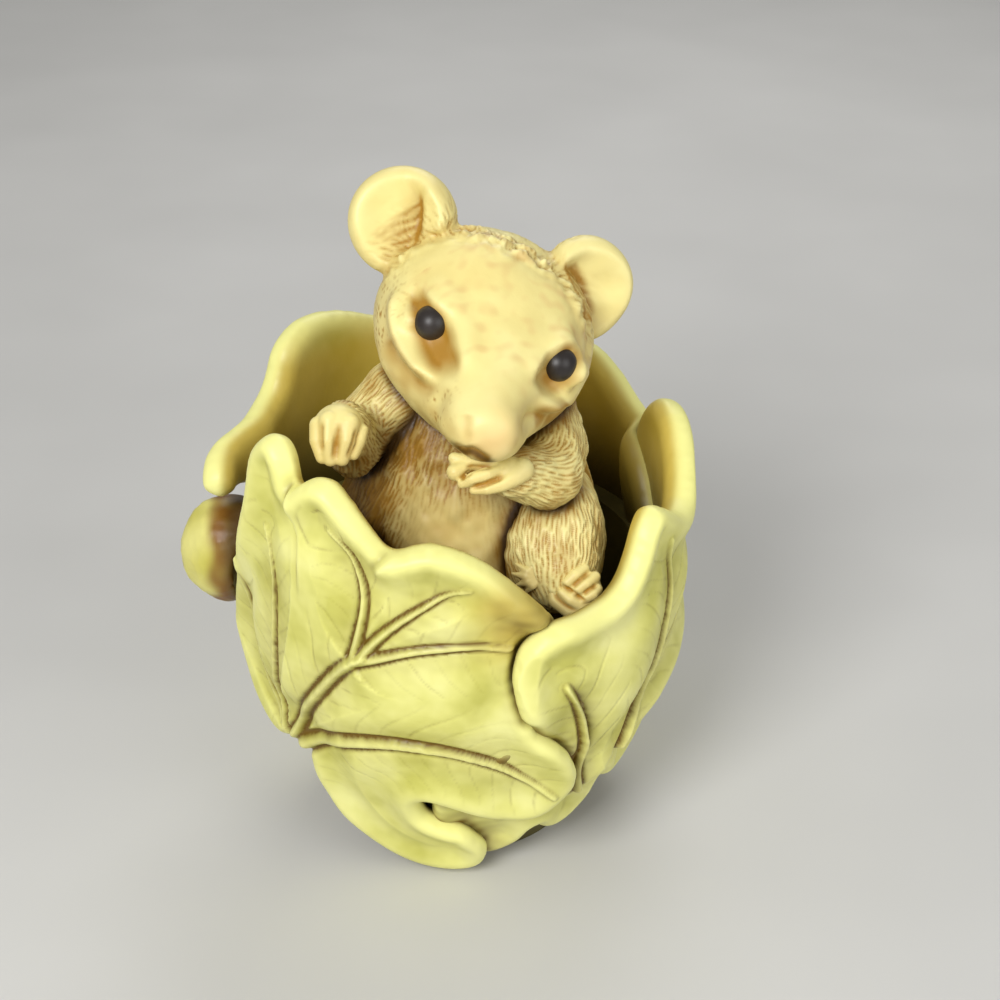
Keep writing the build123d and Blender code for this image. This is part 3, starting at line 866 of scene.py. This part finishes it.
CROWN = [
    (-8.8, 3.6, -0.6), (-7.9, 5.4, -1.2), (-6.6, 6.9, -0.5), (-4.6, 7.6, 0.2), (-2.4, 8.0, 1.2),
    (0.5, 8.2, 1.5), (2.8, 8.0, 1.2), (4.6, 7.0, 1.6), (6.0, 5.8, 2.2), (7.3, 4.3, 1.6),
]
# Half widths of the eye hollows from the outer to the inner end of their axes
SOCKET_WIDTHS = ((LEFT_SOCKET, (0.5, 1.0, 1.7, 1.65, 1.4, 1.1)), (RIGHT_SOCKET, (0.5, 1.2, 1.55, 1.3, 0.8)))
# Rise and width of the lines on the face
FACE_LINES = (
    (LEFT_BROW, 0.36, 0.9), (LEFT_LID, 0.85, 0.62), (LEFT_CHEEK, -0.5, 0.7), (RIGHT_BROW, 0.36, 0.9),
    (RIGHT_LID, 0.9, 0.6), (RIGHT_CHEEK, -0.55, 0.6), (MOUTH, -0.5, 0.28), (NOSE_SIDE, -0.2, 0.45),
)
# Rise and width of the nose, the muzzle, the cheeks and the brow
FACE_SWELLS = (
    ((0.3, -3.1, 15.2), 0.3, 1.3), ((-2.6, -4.4, 12.3), 0.15, 1.6), ((2.6, -2.6, 13.0), -0.3, 1.6),
    ((-6.8, -3.9, 4.0), 0.4, 2.2), ((0.0, 5.0, 7.0), -0.2, 3.5), ((-4.2, -3.2, 11.0), -0.45, 1.3),
    ((3.8, -2.6, 11.2), -1.0, 1.6), ((2.4, 7.8, 1.0), -0.85, 3.6), ((7.8, 3.2, 1.6), -0.7, 3.0),
    ((8.4, -0.8, 4.0), -0.6, 2.4), ((6.7, -4.0, 4.4), -0.9, 2.3),
)
# Amount and width of the darkening along lines on the face: stain and painted shade in the grooves under the
# cheeks, beside the nose and in the mouth
FACE_STAIN_AND_SHADE_LINES = ((LEFT_CHEEK, 0.45, 0.7), (RIGHT_CHEEK, 0.6, 0.9), (MOUTH, 1.0, 0.35), (NOSE_SIDE, 0.3, 0.45))
LEFT_EAR, RIGHT_EAR = -1, 1
EAR_SPOTS = {LEFT_EAR: (-9.5, 6.2, -1.2), RIGHT_EAR: (8.1, 6.4, -1.2)}
# The right ear sits nearer to the head than its CAD node
EAR_SHIFTS = {LEFT_EAR: np.zeros(3), RIGHT_EAR: np.array([0.7, 0, 0])}
EAR_REACH = 4.9
EAR_LIP_HEIGHT, EAR_DISH_DEPTH, EAR_COMB_HEIGHT, EAR_RIM_HEIGHT = 1.15, 0.6, 0.1, 0.1
EAR_FILL_HEIGHT = 0.95
# Where the wall of each ear's pocket stands across the ear, at four heights
EAR_WALL_HEIGHTS = (-2.6, -0.8, 0.9, 2.8)
EAR_WALLS = {LEFT_EAR: (0.9, 1.5, 1.75, 1.7), RIGHT_EAR: (1.6, 2.4, 3.1, 3.2)}
# Outline of the brushed hair in each ear, across and up
EAR_TUFTS = {
    LEFT_EAR: [
        (1.75, 1.6), (0.9, 1.4), (0.1, 0.8), (-1.1, -0.1), (-2.2, -1.1), (-1.4, -1.7), (0.0, -2.5),
        (1.3, -1.6), (1.7, -0.6),
    ],
    RIGHT_EAR: [
        (3.2, 1.8), (1.7, 2.2), (0.5, 1.2), (-0.3, -0.4), (-0.9, -1.7), (0.3, -2.5), (1.5, -2.3),
        (2.2, -0.6),
    ],
}


def line_on_face(p, path):
    """Distance to a line drawn on the face, and the share of its length at the nearest spot."""
    return nearest_on(front_view(p), curve_through(front_view(head_world(path)), 5))[:2]


def stroke_on_face(p, path, width, portion):
    """1 on a line drawn on the face, falling off to its sides and ends."""
    away, share = line_on_face(p, path)
    return bump(away, width) * ends_faded(share, portion)


def near_crown(q, width):
    """1 along the crown of the head, falling off to its sides."""
    return bump(nearest_on(q, curve_through(CROWN, 5))[0], width)


def sockets(p, grow):
    """How far inside the almond around either eye each point lies, 1 well inside, and the same in its
    lower corner only."""
    total = np.zeros(len(p))
    low_corner = np.zeros(len(p))
    for axis, widths in SOCKET_WIDTHS:
        away, share = line_on_face(p, axis)
        width = np.interp(share, np.linspace(0, 1, len(widths)), widths) * grow
        faded = step(0.0, 0.22, share) * step(1.0, 0.72, share)
        total = np.maximum(total, step(1.25, 0.4, away / width) * faded)
        low_corner = np.maximum(low_corner, step(0.6, 0.95, share) * total)
    return total, low_corner


def faces_front(n):
    """Which points face the front, from their normals."""
    return step(-0.1, 0.3, n @ FRONT_OUT)


def bare_head():
    """The head with its eye sockets filled, creased and swollen into a face."""
    obj = cad_copy("mouse_head_skin", "mouse_head")
    for spot in SOCKET_FILLS:
        obj = join([obj, add_ball(head_world(spot), SOCKET_FILL_RADIUS, 4)], obj.name)
    remesh(obj, 0.25, 16)
    remesh(obj, HEAD_VOXEL, 4)
    p = points(obj)
    n = normals(obj)
    q = head_local(p)
    rise = -SOCKET_DEPTH * sockets(p, 1.0)[0]
    for path, up, width in FACE_LINES:
        rise += up * stroke_on_face(p, path, width, 0.22)
    for spot, up, width in FACE_SWELLS:
        rise += up * around(q, spot, width)
    rise *= faces_front(n)
    rise += near_crown(q, CROWN_WIDTH) * (0.42 * np.clip(noise(q, 1.25, 21), -0.5, 1.1) + 0.15)
    rise += 0.03 * noise(q, 2.6, 22)
    move_points(obj, p + n * rise[:, None])
    apply_modifier(obj, "SMOOTH", factor=0.5, iterations=2)
    return obj


def ear_frame(side):
    """Middle of an ear and its across (toward the head), up and facing directions."""
    out = HEAD_AXES.T @ np.array([side * 0.35, 0.2, 0.9])
    out /= np.linalg.norm(out)
    up = FRONT_UP - (FRONT_UP @ out) * out
    up /= np.linalg.norm(up)
    return head_world(EAR_SPOTS[side]), np.cross(up, out) * -side, up, out


def ear_places(p, side):
    """Across, up and outward places on an ear, the line of its pocket, and the comb of its hair."""
    centre, over, up, out = ear_frame(side)
    local = p - centre
    ex, ey, ez = local @ over, local @ up, local @ out
    wall = np.interp(ey, EAR_WALL_HEIGHTS, EAR_WALLS[side])
    across = (-0.5 * ex + 0.86 * ey) / 0.62
    comb = np.sin(2 * math.pi * across + 1.3 * np.sin(1.7 * ex) + 0.8 * np.sin(3.1 * ey + ex))
    return ex, ey, ez, wall, comb


def dished_ear(node, side):
    """An ear with a lip on the side of the head, a dish with combed hair, and a full outer rim."""
    obj = cad_copy(node + "_part", node)
    remesh(obj, 0.2, 14)
    remesh(obj, 0.14, 4)
    p = points(obj)
    out = ear_frame(side)[3]
    ex, ey, _, wall, comb = ear_places(p, side)
    rim = np.hypot(ex, ey)
    softness = 0.35 + 1.3 * step(1.4, 3.4, ey)
    lip = step(-softness, softness, ex - wall - 0.1) * step(EAR_REACH, 3.1, rim) * step(-2.9, -1.2, ey)
    dish = bump(ex - 0.9, 1.3) * bump(ey + 0.2, 1.7) * step(wall + 0.25, wall - 0.2, ex)
    hair = bump(ex - 0.6, 1.5) * bump(ey + 0.3, 1.4) * step(wall, wall - 0.4, ex)
    up = EAR_LIP_HEIGHT * lip - EAR_DISH_DEPTH * dish + EAR_COMB_HEIGHT * comb * hair
    up += EAR_RIM_HEIGHT * step(1.6, 3.6, rim) * step(4.7, 3.9, rim)
    up += EAR_FILL_HEIGHT * step(4.0, 1.2, np.hypot(ex + 1.4, ey - 0.6))
    facing = step(-0.2, 0.5, normals(obj) @ out)
    move_points(obj, p + out * (up * facing)[:, None] - EAR_SHIFTS[side])
    apply_modifier(obj, "SMOOTH", factor=0.5, iterations=2)
    return obj


def head_with_ears():
    """One skin over the head and both ears, its seams softened, and how near each point is to a seam."""
    obj = bare_head()
    ears = [dished_ear("left_ear", LEFT_EAR), dished_ear("right_ear", RIGHT_EAR)]
    head_shape = shape_of(obj)
    ear_shapes = [shape_of(ear) for ear in ears]
    obj = join([obj] + ears, "mouse_head_skin")
    remesh(obj, HEAD_VOXEL, 1)
    p = points(obj)
    seam = np.zeros(len(p))
    for shape in ear_shapes:
        near_both = step(1.3, 0.5, gap_to(p, shape, 1.5)) * step(1.1, 0.4, gap_to(p, head_shape, 1.3))
        seam = np.maximum(seam, near_both)
    soft = blur(edge_array(obj), p, 14)
    move_points(obj, p + 0.85 * seam[:, None] * (soft - p))
    return obj, seam


def head_flow(p):
    """Fur on the head runs back and down, spreading from its middle."""
    return HEAD_FORWARD * -0.5 - HEAD_UP * 0.5 + 0.08 * (p - HEAD_MIDDLE)


def head_coat(p):
    """Short fur over the back of the head and along the crown, none on the face or the ears."""
    q = head_local(p)
    back = step(0.6, -1.4, q[:, 2] + 0.12 * q[:, 1])
    for side in (LEFT_EAR, RIGHT_EAR):
        back *= step(4.2, 5.4, np.linalg.norm(p - ear_frame(side)[0], axis=1))
    return np.maximum(back, np.clip(1.4 * near_crown(q, CROWN_WIDTH) - 0.2, 0, 1))


def ear_stains_and_shadow(p, n):
    """Painted shadow along the inner edge of each ear's lip, stain between the combed hair of both ears, and
    which points lie on an ear.
    """
    stain = np.zeros(len(p))
    on_ears = np.zeros(len(p))
    for side in (LEFT_EAR, RIGHT_EAR):
        ex, ey, ez, wall, comb = ear_places(p + EAR_SHIFTS[side], side)
        ear = (np.hypot(ex, ey) < EAR_REACH) & (np.abs(ez) < 3)
        on_ears = np.maximum(on_ears, ear)
        hair = step(-0.35, 0.35, depth_inside(np.stack([ex, ey], -1), np.array(EAR_TUFTS[side])))
        # Painted shadow along the inner edge of the ear's lip
        pocket = bump(ex - wall + 0.1, 0.2) * step(-2.4, -1.2, ey) * step(2.6, 1.5, ey)
        broken = np.clip(0.55 + 0.6 * noise(np.stack([ex, ey * 1.7, ez], -1), 1.4, 50 + side), 0, 1)
        brushed = np.clip(hair * (0.5 + 0.12 * side - 0.36 * comb * broken) + 0.85 * pocket, 0, 1)
        stain = np.maximum(stain, ear * step(-0.1, 0.3, n @ ear_frame(side)[3]) * brushed)
    return stain, on_ears


def stain_head(obj, seam, strokes):
    """Stains the sockets, mouth, ears and crown, with painted shade along the cheeks, mouth and ear lips, and
    paints shade on faces turned down or aside, leaving the upturned face nearly clean.
    """
    hollow = relief(obj, 12)
    p = points(obj)
    n = normals(obj)
    q = head_local(p)
    front = faces_front(n)
    lines = np.zeros(len(p))
    for path, amount, width in FACE_STAIN_AND_SHADE_LINES:
        lines = np.maximum(lines, amount * stroke_on_face(p, path, width, 0.1))
    socket, corner = sockets(p, 0.95)
    ear_stain_and_shadow, on_ears = ear_stains_and_shadow(p, n)
    near_cheeks = around(q, (-8.6, -0.6, 2.8), 2.7) + 0.8 * around(q, (-3.9, -4.0, 11.0), 1.9)
    pits = np.clip(noise(q, 0.5, 23) - 0.5, 0, 1) * np.clip(near_cheeks, 0, 1)
    mottle = np.clip(0.45 * noise(q, 2.3, 24) + 0.35 * noise(q, 0.9, 29), 0, 1)
    mottle *= step(0, 3, q[:, 1] + 0.35 * q[:, 2] - 2) * step(14, 10, q[:, 2])
    mottle *= (1 - on_ears) * (1 - socket) * step(-1.0, 1.5, q[:, 2])
    # Painted shade on the faces that turn down or aside
    shade_turned_away = 0.34 * step(0.85, 0.25, n @ np.array([0.1, -0.45, 0.87])) * (1 - 0.7 * on_ears)
    crown = near_crown(q, 1.7) * (1 - 0.8 * on_ears)
    in_sockets = socket * (0.75 + 0.25 * corner)
    stain = np.maximum.reduce([lines * front, in_sockets * front, 0.6 * strokes, 1.2 * pits, ear_stain_and_shadow])
    stain += shade_turned_away * (0.8 + 0.3 * noise(q, 2.0, 28)) + 0.2 * seam
    stain += 0.14 * mottle + np.clip(-hollow * 5 - 0.1, 0, 0.5)
    stain += 0.26 * crown * np.clip(0.7 + noise(q, 1.3, 27), 0, 1.4)
    # The mouth line is darkened nearly black by painted shade in its groove, and the ridges are worn light
    # and lit with painted highlight
    store_looks(
        obj,
        stain=stain,
        raised=hollow * 4 * (1 - socket),
        blush=0.55 * around(q, (0.2, -3.4, 15.1), 1.8) + 0.3 * mottle,
        deep=0.8 * bump(line_on_face(p, MOUTH)[0], 0.3) * front,
    )


head, ear_seam = head_with_ears()
head_strokes = fur(head, head_flow, head_coat, 0.36, 1.4, 0.15, 0.12, 31, 0.25)
stain_head(head, ear_seam, head_strokes)

for node, spot in EYES:
    bpy.ops.object.select_all(action="DESELECT")
    bpy.ops.mesh.primitive_uv_sphere_add(
        segments=48, ring_count=32, radius=EYE_RADIUS, location=tuple(head_world(spot))
    )
    eye = bpy.context.object
    eye.name = node + "_bead"
    settle(eye)
    finish_piece(eye, [node], eye_bead)


# Body, arms and thighs

# Heights between which the body's furred top and its plain seat overlap
BODY_CUT, SEAT_CUT = 24.0, 24.4
# Places along each arm, with its radius there
LEFT_ARM = [
    ((-5, -1, 40.6), 3.5), ((-8.0, -2.2, 38.3), 2.9), ((-8.9, -4.2, 37.9), 2.6),
    ((-9.1, -7.2, 41.6), 2.0),
]
RIGHT_ARM = [((6, -1, 40.5), 3.4), ((7.5, -4, 38.0), 3.1), ((7.2, -8, 37.2), 2.8), ((3.9, -11, 39.2), 2.0)]
# Beyond this place to the right a thigh keeps only a share of its reach, clear of the leaves
THIGH_REACH, THIGH_SQUEEZE = 9.5, 0.78
LIMB_VOXEL = 0.11


def body_part(name, height, keep_top, voxel):
    """The part of the body above or below a height, closed where it is cut."""
    obj = cad_copy(name, "mouse_body")
    select(obj)
    bpy.ops.object.mode_set(mode="EDIT")
    bpy.ops.mesh.select_all(action="SELECT")
    bpy.ops.mesh.bisect(
        plane_co=(0, 0, height), plane_no=(0, 0, 1), use_fill=True,
        clear_inner=keep_top, clear_outer=not keep_top,
    )
    bpy.ops.object.mode_set(mode="OBJECT")
    remesh(obj, 0.4, 8)
    remesh(obj, voxel, 3)
    return obj


def arm(name, spots):
    """An arm that tapers along its (place, radius) pairs."""
    obj = join(chain(spots, 9), name)
    settle(obj)
    remesh(obj, 0.3, 14)
    remesh(obj, LIMB_VOXEL, 2)
    return obj


def thigh(name, node, scale, drop):
    """A thigh squeezed in where it nears the leaves, scaled about its middle and lowered."""
    obj = cad_copy(name, node)
    p = points(obj)
    middle = (p.min(0) + p.max(0)) / 2
    beyond = p[:, 0] - THIGH_REACH
    p[:, 0] = np.where(beyond > 0, THIGH_REACH + beyond * THIGH_SQUEEZE, p[:, 0])
    move_points(obj, middle + (p - middle) * scale - np.array([0, 0, drop]))
    remesh(obj, 0.25, 12)
    remesh(obj, LIMB_VOXEL, 2)
    return obj


body = body_part("mouse_body_skin", BODY_CUT, True, 0.145)
seat = body_part("mouse_seat_skin", SEAT_CUT, False, 0.4)
limbs = {
    "left_arm": arm("left_arm_skin", LEFT_ARM),
    "right_arm": arm("right_arm_skin", RIGHT_ARM),
    "left_thigh": thigh("left_thigh_skin", "left_thigh", 0.85, 1.3),
    "right_thigh": thigh("right_thigh_skin", "right_thigh", 1.0, 0.0),
}


def along(spots):
    """Flow along a limb."""
    path = curve_through([place for place, _ in spots], 6)
    middles = (path[1:] + path[:-1]) / 2
    ways = np.diff(path, axis=0)
    return lambda p: ways[((p[:, None] - middles[None]) ** 2).sum(2).argmin(1)]


def away_from(spot):
    """Flow that spreads away from a spot."""
    return lambda p: p - np.array(spot, float)


def body_flow(p):
    """Fur on the body runs down, spreading a little from its middle."""
    return np.stack([0.05 * (p[:, 0] - 1.0), np.zeros(len(p)), -np.ones(len(p))], -1)


def body_coat(p):
    """Thick on the chest and sides, thin on the smooth belly."""
    across = (np.abs(p[:, 0] + 0.4) / 4.9) ** 6
    above = (np.clip(p[:, 2] - 33.5, 0, None) / 3.2) ** 4
    belly = np.exp(-across - above) * (p[:, 1] < 0)
    return np.clip(1 - 0.93 * belly, 0, 1) * step(23, 25, p[:, 2])


def full_coat(p):
    """The same thick fur all over."""
    return np.ones(len(p))


def dress_coat(obj, flow, coat, gap, length, depth, width, seed):
    """Roughens and furs a part of the mouse, stains it, and paints shade on it near the parts that it
    touches.
    """
    p = points(obj)
    swell = 0.1 * noise(p, 3.5, seed) + 0.05 * noise(p, 1.5, seed + 1)
    move_points(obj, p + normals(obj) * swell[:, None])
    carved = fur(obj, flow, coat, gap, length, depth, width, seed)
    p = points(obj)
    others = [shape for name, shape in skins.items() if name != obj.name]
    nearest_skin = np.min([gap_to(p, shape, 2.0) for shape in others], axis=0)
    # Painted shade close to the parts this one touches, and a wider, fainter band of it
    contact_shade, shade = bump(nearest_skin, 0.8), bump(nearest_skin, 1.6)
    hollow = relief(obj, 8)
    # Painted shade of the cup over the mouse's lower left side
    side = step(41, 36, p[:, 2]) * step(-5.5, -9.0, p[:, 0])
    wash = np.clip(0.1 + 0.25 * noise(p, 3.0, seed + 2), 0, 0.45) * (0.3 + 0.7 * coat(p))
    deep = 0.8 * contact_shade**2 + 0.5 * side
    # The body is darkened all over and most on the upper chest under the head, partly stain and partly
    # painted shadow of the head, and gets painted shade in its carved strokes
    if obj is body:
        chest = step(33, 39, p[:, 2]) * step(-1, -3, p[:, 1]) * step(5, 1, p[:, 0])
        wash += 0.38 + 0.2 * chest
        deep += 0.3 * shade + 0.12 * chest + 0.3 * carved
    else:
        deep += 0.16 * shade
    # Stain in the strokes and hollows, with painted shade where parts touch and over the lower left side;
    # ridges are worn light and lit with painted highlight, less on that side
    stain = 0.85 * carved + 0.6 * contact_shade + wash + np.clip(-hollow * 6, 0, 0.4) + 0.5 * side
    store_looks(obj, stain, hollow * 8 * (1 - 0.6 * side), 0.0, deep)


skins = {obj.name: shape_of(obj) for obj in [body, *limbs.values(), head]}
# Each coat's flow and thickness, then the gap, length, depth and width of its strokes, and its seed
for obj, flow, coat, gap, length, depth, width, seed in (
    (body, body_flow, body_coat, 0.29, 2.2, 0.15, 0.11, 41),
    (limbs["left_arm"], along(LEFT_ARM), full_coat, 0.27, 2.2, 0.15, 0.1, 42),
    (limbs["right_arm"], along(RIGHT_ARM), full_coat, 0.27, 2.6, 0.15, 0.1, 43),
    (limbs["left_thigh"], away_from((-7.5, 0.5, 33)), full_coat, 0.34, 2.0, 0.16, 0.12, 44),
    (limbs["right_thigh"], away_from((8.0, -2.0, 38)), full_coat, 0.28, 2.2, 0.17, 0.1, 45),
):
    dress_coat(obj, flow, coat, gap, length, depth, width, seed)
# The hidden seat deep in the cup is stained and darkened with painted shade
store_looks(seat, stain=0.6, deep=0.5)


# Paws and feet, seen from the front: across, up and out of the middle of each

PAW_VOXEL = 0.09


def front_place(spot, middle):
    """Point in space of an across, up and out place as seen from the front."""
    return np.array(middle, float) + spot[0] * FRONT_RIGHT + spot[1] * FRONT_UP + spot[2] * FRONT_OUT


def sculpted(name, middle, digits, grooves, wash=0.0):
    """A paw or foot of rounded digits, with stained grooves as lines, depths and widths between them, and
    painted shade on its downward faces.
    """
    balls = []
    for digit in digits:
        balls += chain([(front_place(spot, middle), radius) for spot, radius in digit])
    paw = join(balls, name)
    settle(paw)
    remesh(paw, PAW_VOXEL, 12)
    p = points(paw)
    n = normals(paw)
    face = front_view(p - np.array(middle))
    front = step(0.0, 0.5, n @ FRONT_OUT)
    stain = np.zeros(len(p))
    cut = np.zeros(len(p))
    for path, depth, width in grooves:
        away, share, _, _ = nearest_on(face, curve_through(path, 6))
        line = bump(away, width) * ends_faded(share, 0.25) * front
        cut = np.maximum(cut, 0.6 * depth * line)
        stain = np.maximum(stain, line)
    move_points(paw, p - n * cut[:, None])
    apply_modifier(paw, "SMOOTH", factor=0.4, iterations=2)
    hollow = relief(paw, 12)
    # Painted shade on the faces that turn down; ridges are worn light and lit with painted highlight
    under = 0.25 * step(0.6, -0.2, normals(paw) @ FRONT_UP)
    store_looks(paw, 0.5 * stain + np.clip(-hollow * 6 - 0.1, 0, 0.45) + under + wash, hollow * 4)
    return paw


left_paw = sculpted(
    "left_paw_skin", (-9.6, -9.5, 41.75),
    [
        [((0.1, 0.5, -0.5), 2.1), ((0.15, -0.6, -0.5), 1.6)],
        [((-1.45, 0.8, 0.1), 0.75), ((-1.5, -0.4, 0.3), 0.68), ((-1.1, -1.7, 0.3), 0.6)],
        [((-0.5, 1.1, 0.7), 0.9), ((-0.6, -0.4, 0.9), 0.76), ((-0.45, -1.9, 0.6), 0.6)],
        [((1.0, 0.9, 0.6), 0.9), ((0.85, -0.4, 0.8), 0.76), ((0.45, -1.9, 0.5), 0.58)],
        [((1.95, 0.4, -0.1), 0.58), ((1.75, -0.4, 0.1), 0.58), ((1.3, -1.5, 0.1), 0.5)],
    ],
    [
        ([(-1.1, 1.1), (-1.15, -0.1), (-1.05, -1.5)], 0.3, 0.2),
        ([(0.42, 1.1), (0.1, -0.5), (-0.2, -2.3)], 0.35, 0.26),
        ([(1.75, 0.7), (1.4, -0.7), (0.8, -2.0)], 0.3, 0.2),
    ])
right_paw = sculpted(
    "right_paw_skin", (1.7, -12.5, 39.75),
    [
        [((0.6, 0.1, -0.7), 1.0), ((2.4, 0.3, -0.7), 1.3)],
        [((-1.9, 0.3, 0.1), 0.72), ((-1.2, 0.75, -0.1), 0.6)],
        [((-1.4, -0.65, 0.4), 0.36), ((-0.5, -0.25, 0.65), 0.58), ((0.6, 0.12, 0.6), 0.6),
         ((1.3, 0.35, 0.2), 0.5)],
        [((-0.5, -1.15, 0.2), 0.34), ((0.6, -1.0, 0.45), 0.5), ((1.7, -0.7, 0.3), 0.58),
         ((2.7, -0.1, 0.0), 0.75), ((3.3, 0.5, -0.4), 1.0)],
        [((-2.0, 1.4, -0.3), 0.5), ((-0.7, 1.1, -0.2), 0.6), ((0.8, 1.0, -0.3), 0.7)],
    ],
    [
        ([(-1.6, -0.36), (-1.07, 0.07), (-0.5, 0.42)], 0.35, 0.2),
        ([(-0.9, -0.95), (0.22, -0.74), (1.19, -0.36), (2.15, 0.1)], 0.4, 0.2),
        ([(-1.2, 0.75), (0.0, 0.7), (1.2, 0.8)], 0.3, 0.22),
    ])
left_foot = sculpted(
    "left_foot_skin", (-7.5, -10.4, 26.0),
    [
        [((0, 0, -0.6), 1.9), ((0.3, -0.7, -0.6), 1.6)],
        [((-1.2, 0.9, 0.3), 0.55), ((-1.5, -0.8, 0.5), 0.45)],
        [((-0.3, 1.0, 0.6), 0.6), ((-0.5, -1.1, 0.9), 0.45)],
        [((0.7, 0.9, 0.6), 0.6), ((0.6, -1.1, 0.9), 0.45)],
        [((1.5, 0.6, 0.3), 0.5), ((1.5, -0.9, 0.5), 0.42)],
    ],
    [
        ([(-0.8, 1.0), (-1.0, -1.0)], 0.25, 0.18), ([(0.2, 1.0), (0.05, -1.2)], 0.25, 0.18),
        ([(1.15, 0.9), (1.1, -1.0)], 0.25, 0.18),
    ])
right_foot = sculpted(
    "right_foot_skin", (9.1, -11.75, 29.25),
    [
        [((-0.2, -0.7, -0.7), 1.5), ((0.9, -0.5, -0.7), 1.65)],
        [((-1.5, -0.2, -0.2), 0.5), ((-1.3, -1.3, -0.1), 0.65), ((-0.2, -2.05, -0.1), 0.72),
         ((1.3, -1.7, -0.1), 0.72)],
        [((-1.35, 1.0, 0.1), 0.5), ((-1.6, 0.4, 0.1), 0.42), ((-1.5, -0.3, 0.0), 0.42)],
        [((-0.4, 0.1, 0.75), 0.46), ((0.3, 0.75, 0.7), 0.6), ((1.0, 1.25, 0.1), 0.52)],
        [((0.35, -0.52, 0.85), 0.46), ((1.1, 0.05, 0.75), 0.6), ((1.9, 0.6, 0.1), 0.5)],
        [((1.1, -1.1, 0.7), 0.44), ((1.7, -0.75, 0.6), 0.55), ((2.1, -0.4, 0.1), 0.48)],
        [((-0.8, -0.65, 0.5), 0.4), ((-0.1, -1.25, 0.6), 0.48), ((0.8, -1.85, 0.4), 0.4)],
    ],
    [
        ([(-0.14, -0.35), (0.7, 0.42), (1.6, 1.1)], 0.3, 0.18),
        ([(0.8, -0.9), (1.45, -0.4), (2.2, 0.05)], 0.3, 0.18),
        ([(-1.45, -0.3), (-1.2, -1.1), (-0.4, -1.8), (0.6, -2.3)], 0.25, 0.16),
        ([(-1.0, 0.3), (-0.7, -0.15), (0.1, -0.6), (0.7, -1.1), (1.4, -1.6)], 0.35, 0.18),
        ([(-0.55, 1.4), (-0.85, 0.8), (-0.98, 0.2)], 0.3, 0.16),
    ])
# Tips of the ankle's locks of hair, across and up from their middle
LOCK_TIPS = ((-1.9, 1.2), (-2.2, 0.4), (-1.8, -0.5), (-1.1, -1.1), (-1.1, 1.9), (-0.3, 2.1))
tuft = sculpted(
    "ankle_tuft", (6.5, -11.8, 29.8),
    [[((0.0, 0.0, -0.35), 0.3), ((across * 0.5, up * 0.5, -0.25), 0.36), ((across, up, -0.8), 0.16)]
     for across, up in LOCK_TIPS],
    [], wash=0.12)

for obj, replaced in (
    (head, ["mouse_head", "left_ear", "right_ear"]),
    (body, ["mouse_body"]),
    (seat, []),
    *[(limb, [node]) for node, limb in limbs.items()],
    (left_paw, ["left_paw"]),
    (right_paw, ["right_paw"]),
    (left_foot, ["left_foot"]),
    (right_foot, ["right_foot"]),
    (tuft, []),
):
    finish_piece(obj, replaced, mouse_resin)


# Nut

nut = cad_copy("nut_skin", "nut")
remesh(nut, 0.25, 4)
p = points(nut)
swell = 0.07 * noise(p, 3.4, 61) + 0.02 * noise(p, 1.1, 62) - 0.04
move_points(nut, p + normals(nut) * swell[:, None])
p = points(nut)
blot = step(-22.6, -21.0, p[:, 0] + 0.3 * noise(p, 2.6, 63)) * np.clip(0.9 + 0.12 * noise(p, 2.4, 64), 0, 1)
shadow = 0.8 * step(-21.2, -19.6, p[:, 0])
store_looks(nut, blot, raised=0.25 + 0.2 * noise(p, 4.0, 65), deep=shadow)
finish_piece(nut, ["nut"], nut_resin)

cad_looks = {"left_eye": eye_bead, "right_eye": eye_bead, "bowl": bowl_resin, "nut": nut_resin}
for node, obj in nodes.items():
    obj.data.materials.clear()
    obj.data.materials.append(cad_looks.get(node, mouse_resin))


# Floor, light and camera

FLOOR_SIZE, FLOOR_SHIFT = 3.0, 0.6
SKY_STRENGTH = 0.4
LAMP_AIM = (0, 0, 30)
CAMERA_PLACE = (0.0033, -0.15017, 0.11707)
CAMERA_TILT = 60
SENSOR_WIDTH, LENS_LENGTH = 36, 72.58


def area_light(name, place_mm, size_mm, power):
    """A round lamp that points at the cup."""
    data = bpy.data.lights.new(name, "AREA")
    data.shape = "DISK"
    data.size = size_mm / MM_PER_METRE
    data.energy = power
    light = bpy.data.objects.new(name, data)
    bpy.context.scene.collection.objects.link(light)
    light.location = Vector(place_mm) / MM_PER_METRE
    aim = Vector(LAMP_AIM) / MM_PER_METRE - light.location
    light.rotation_euler = aim.to_track_quat("-Z", "Y").to_euler()


bpy.ops.mesh.primitive_plane_add(size=FLOOR_SIZE, location=(0, FLOOR_SHIFT, 0))
floor = bpy.context.object
floor.name = "floor"
floor.data.materials.append(floor_paper)

world = bpy.data.worlds.new("studio")
bpy.context.scene.world = world
world.use_nodes = True
sky = world.node_tree.nodes["Background"]
sky.inputs["Color"].default_value = linear("#E6E6E4")
sky.inputs["Strength"].default_value = SKY_STRENGTH
area_light("key", (-100, -220, 205), 130, 0.71)
area_light("fill", (200, -190, 150), 220, 0.28)
area_light("back", (40, 220, 220), 200, 0.25)

camera_data = bpy.data.cameras.new("camera")
camera_data.sensor_width = SENSOR_WIDTH
camera_data.lens = LENS_LENGTH
camera_data.clip_start = 0.01
camera = bpy.data.objects.new("camera", camera_data)
bpy.context.scene.collection.objects.link(camera)
camera.location = CAMERA_PLACE
camera.rotation_euler = (math.radians(CAMERA_TILT), 0, 0)
bpy.context.scene.camera = camera
bpy.context.scene.view_settings.view_transform = "Standard"
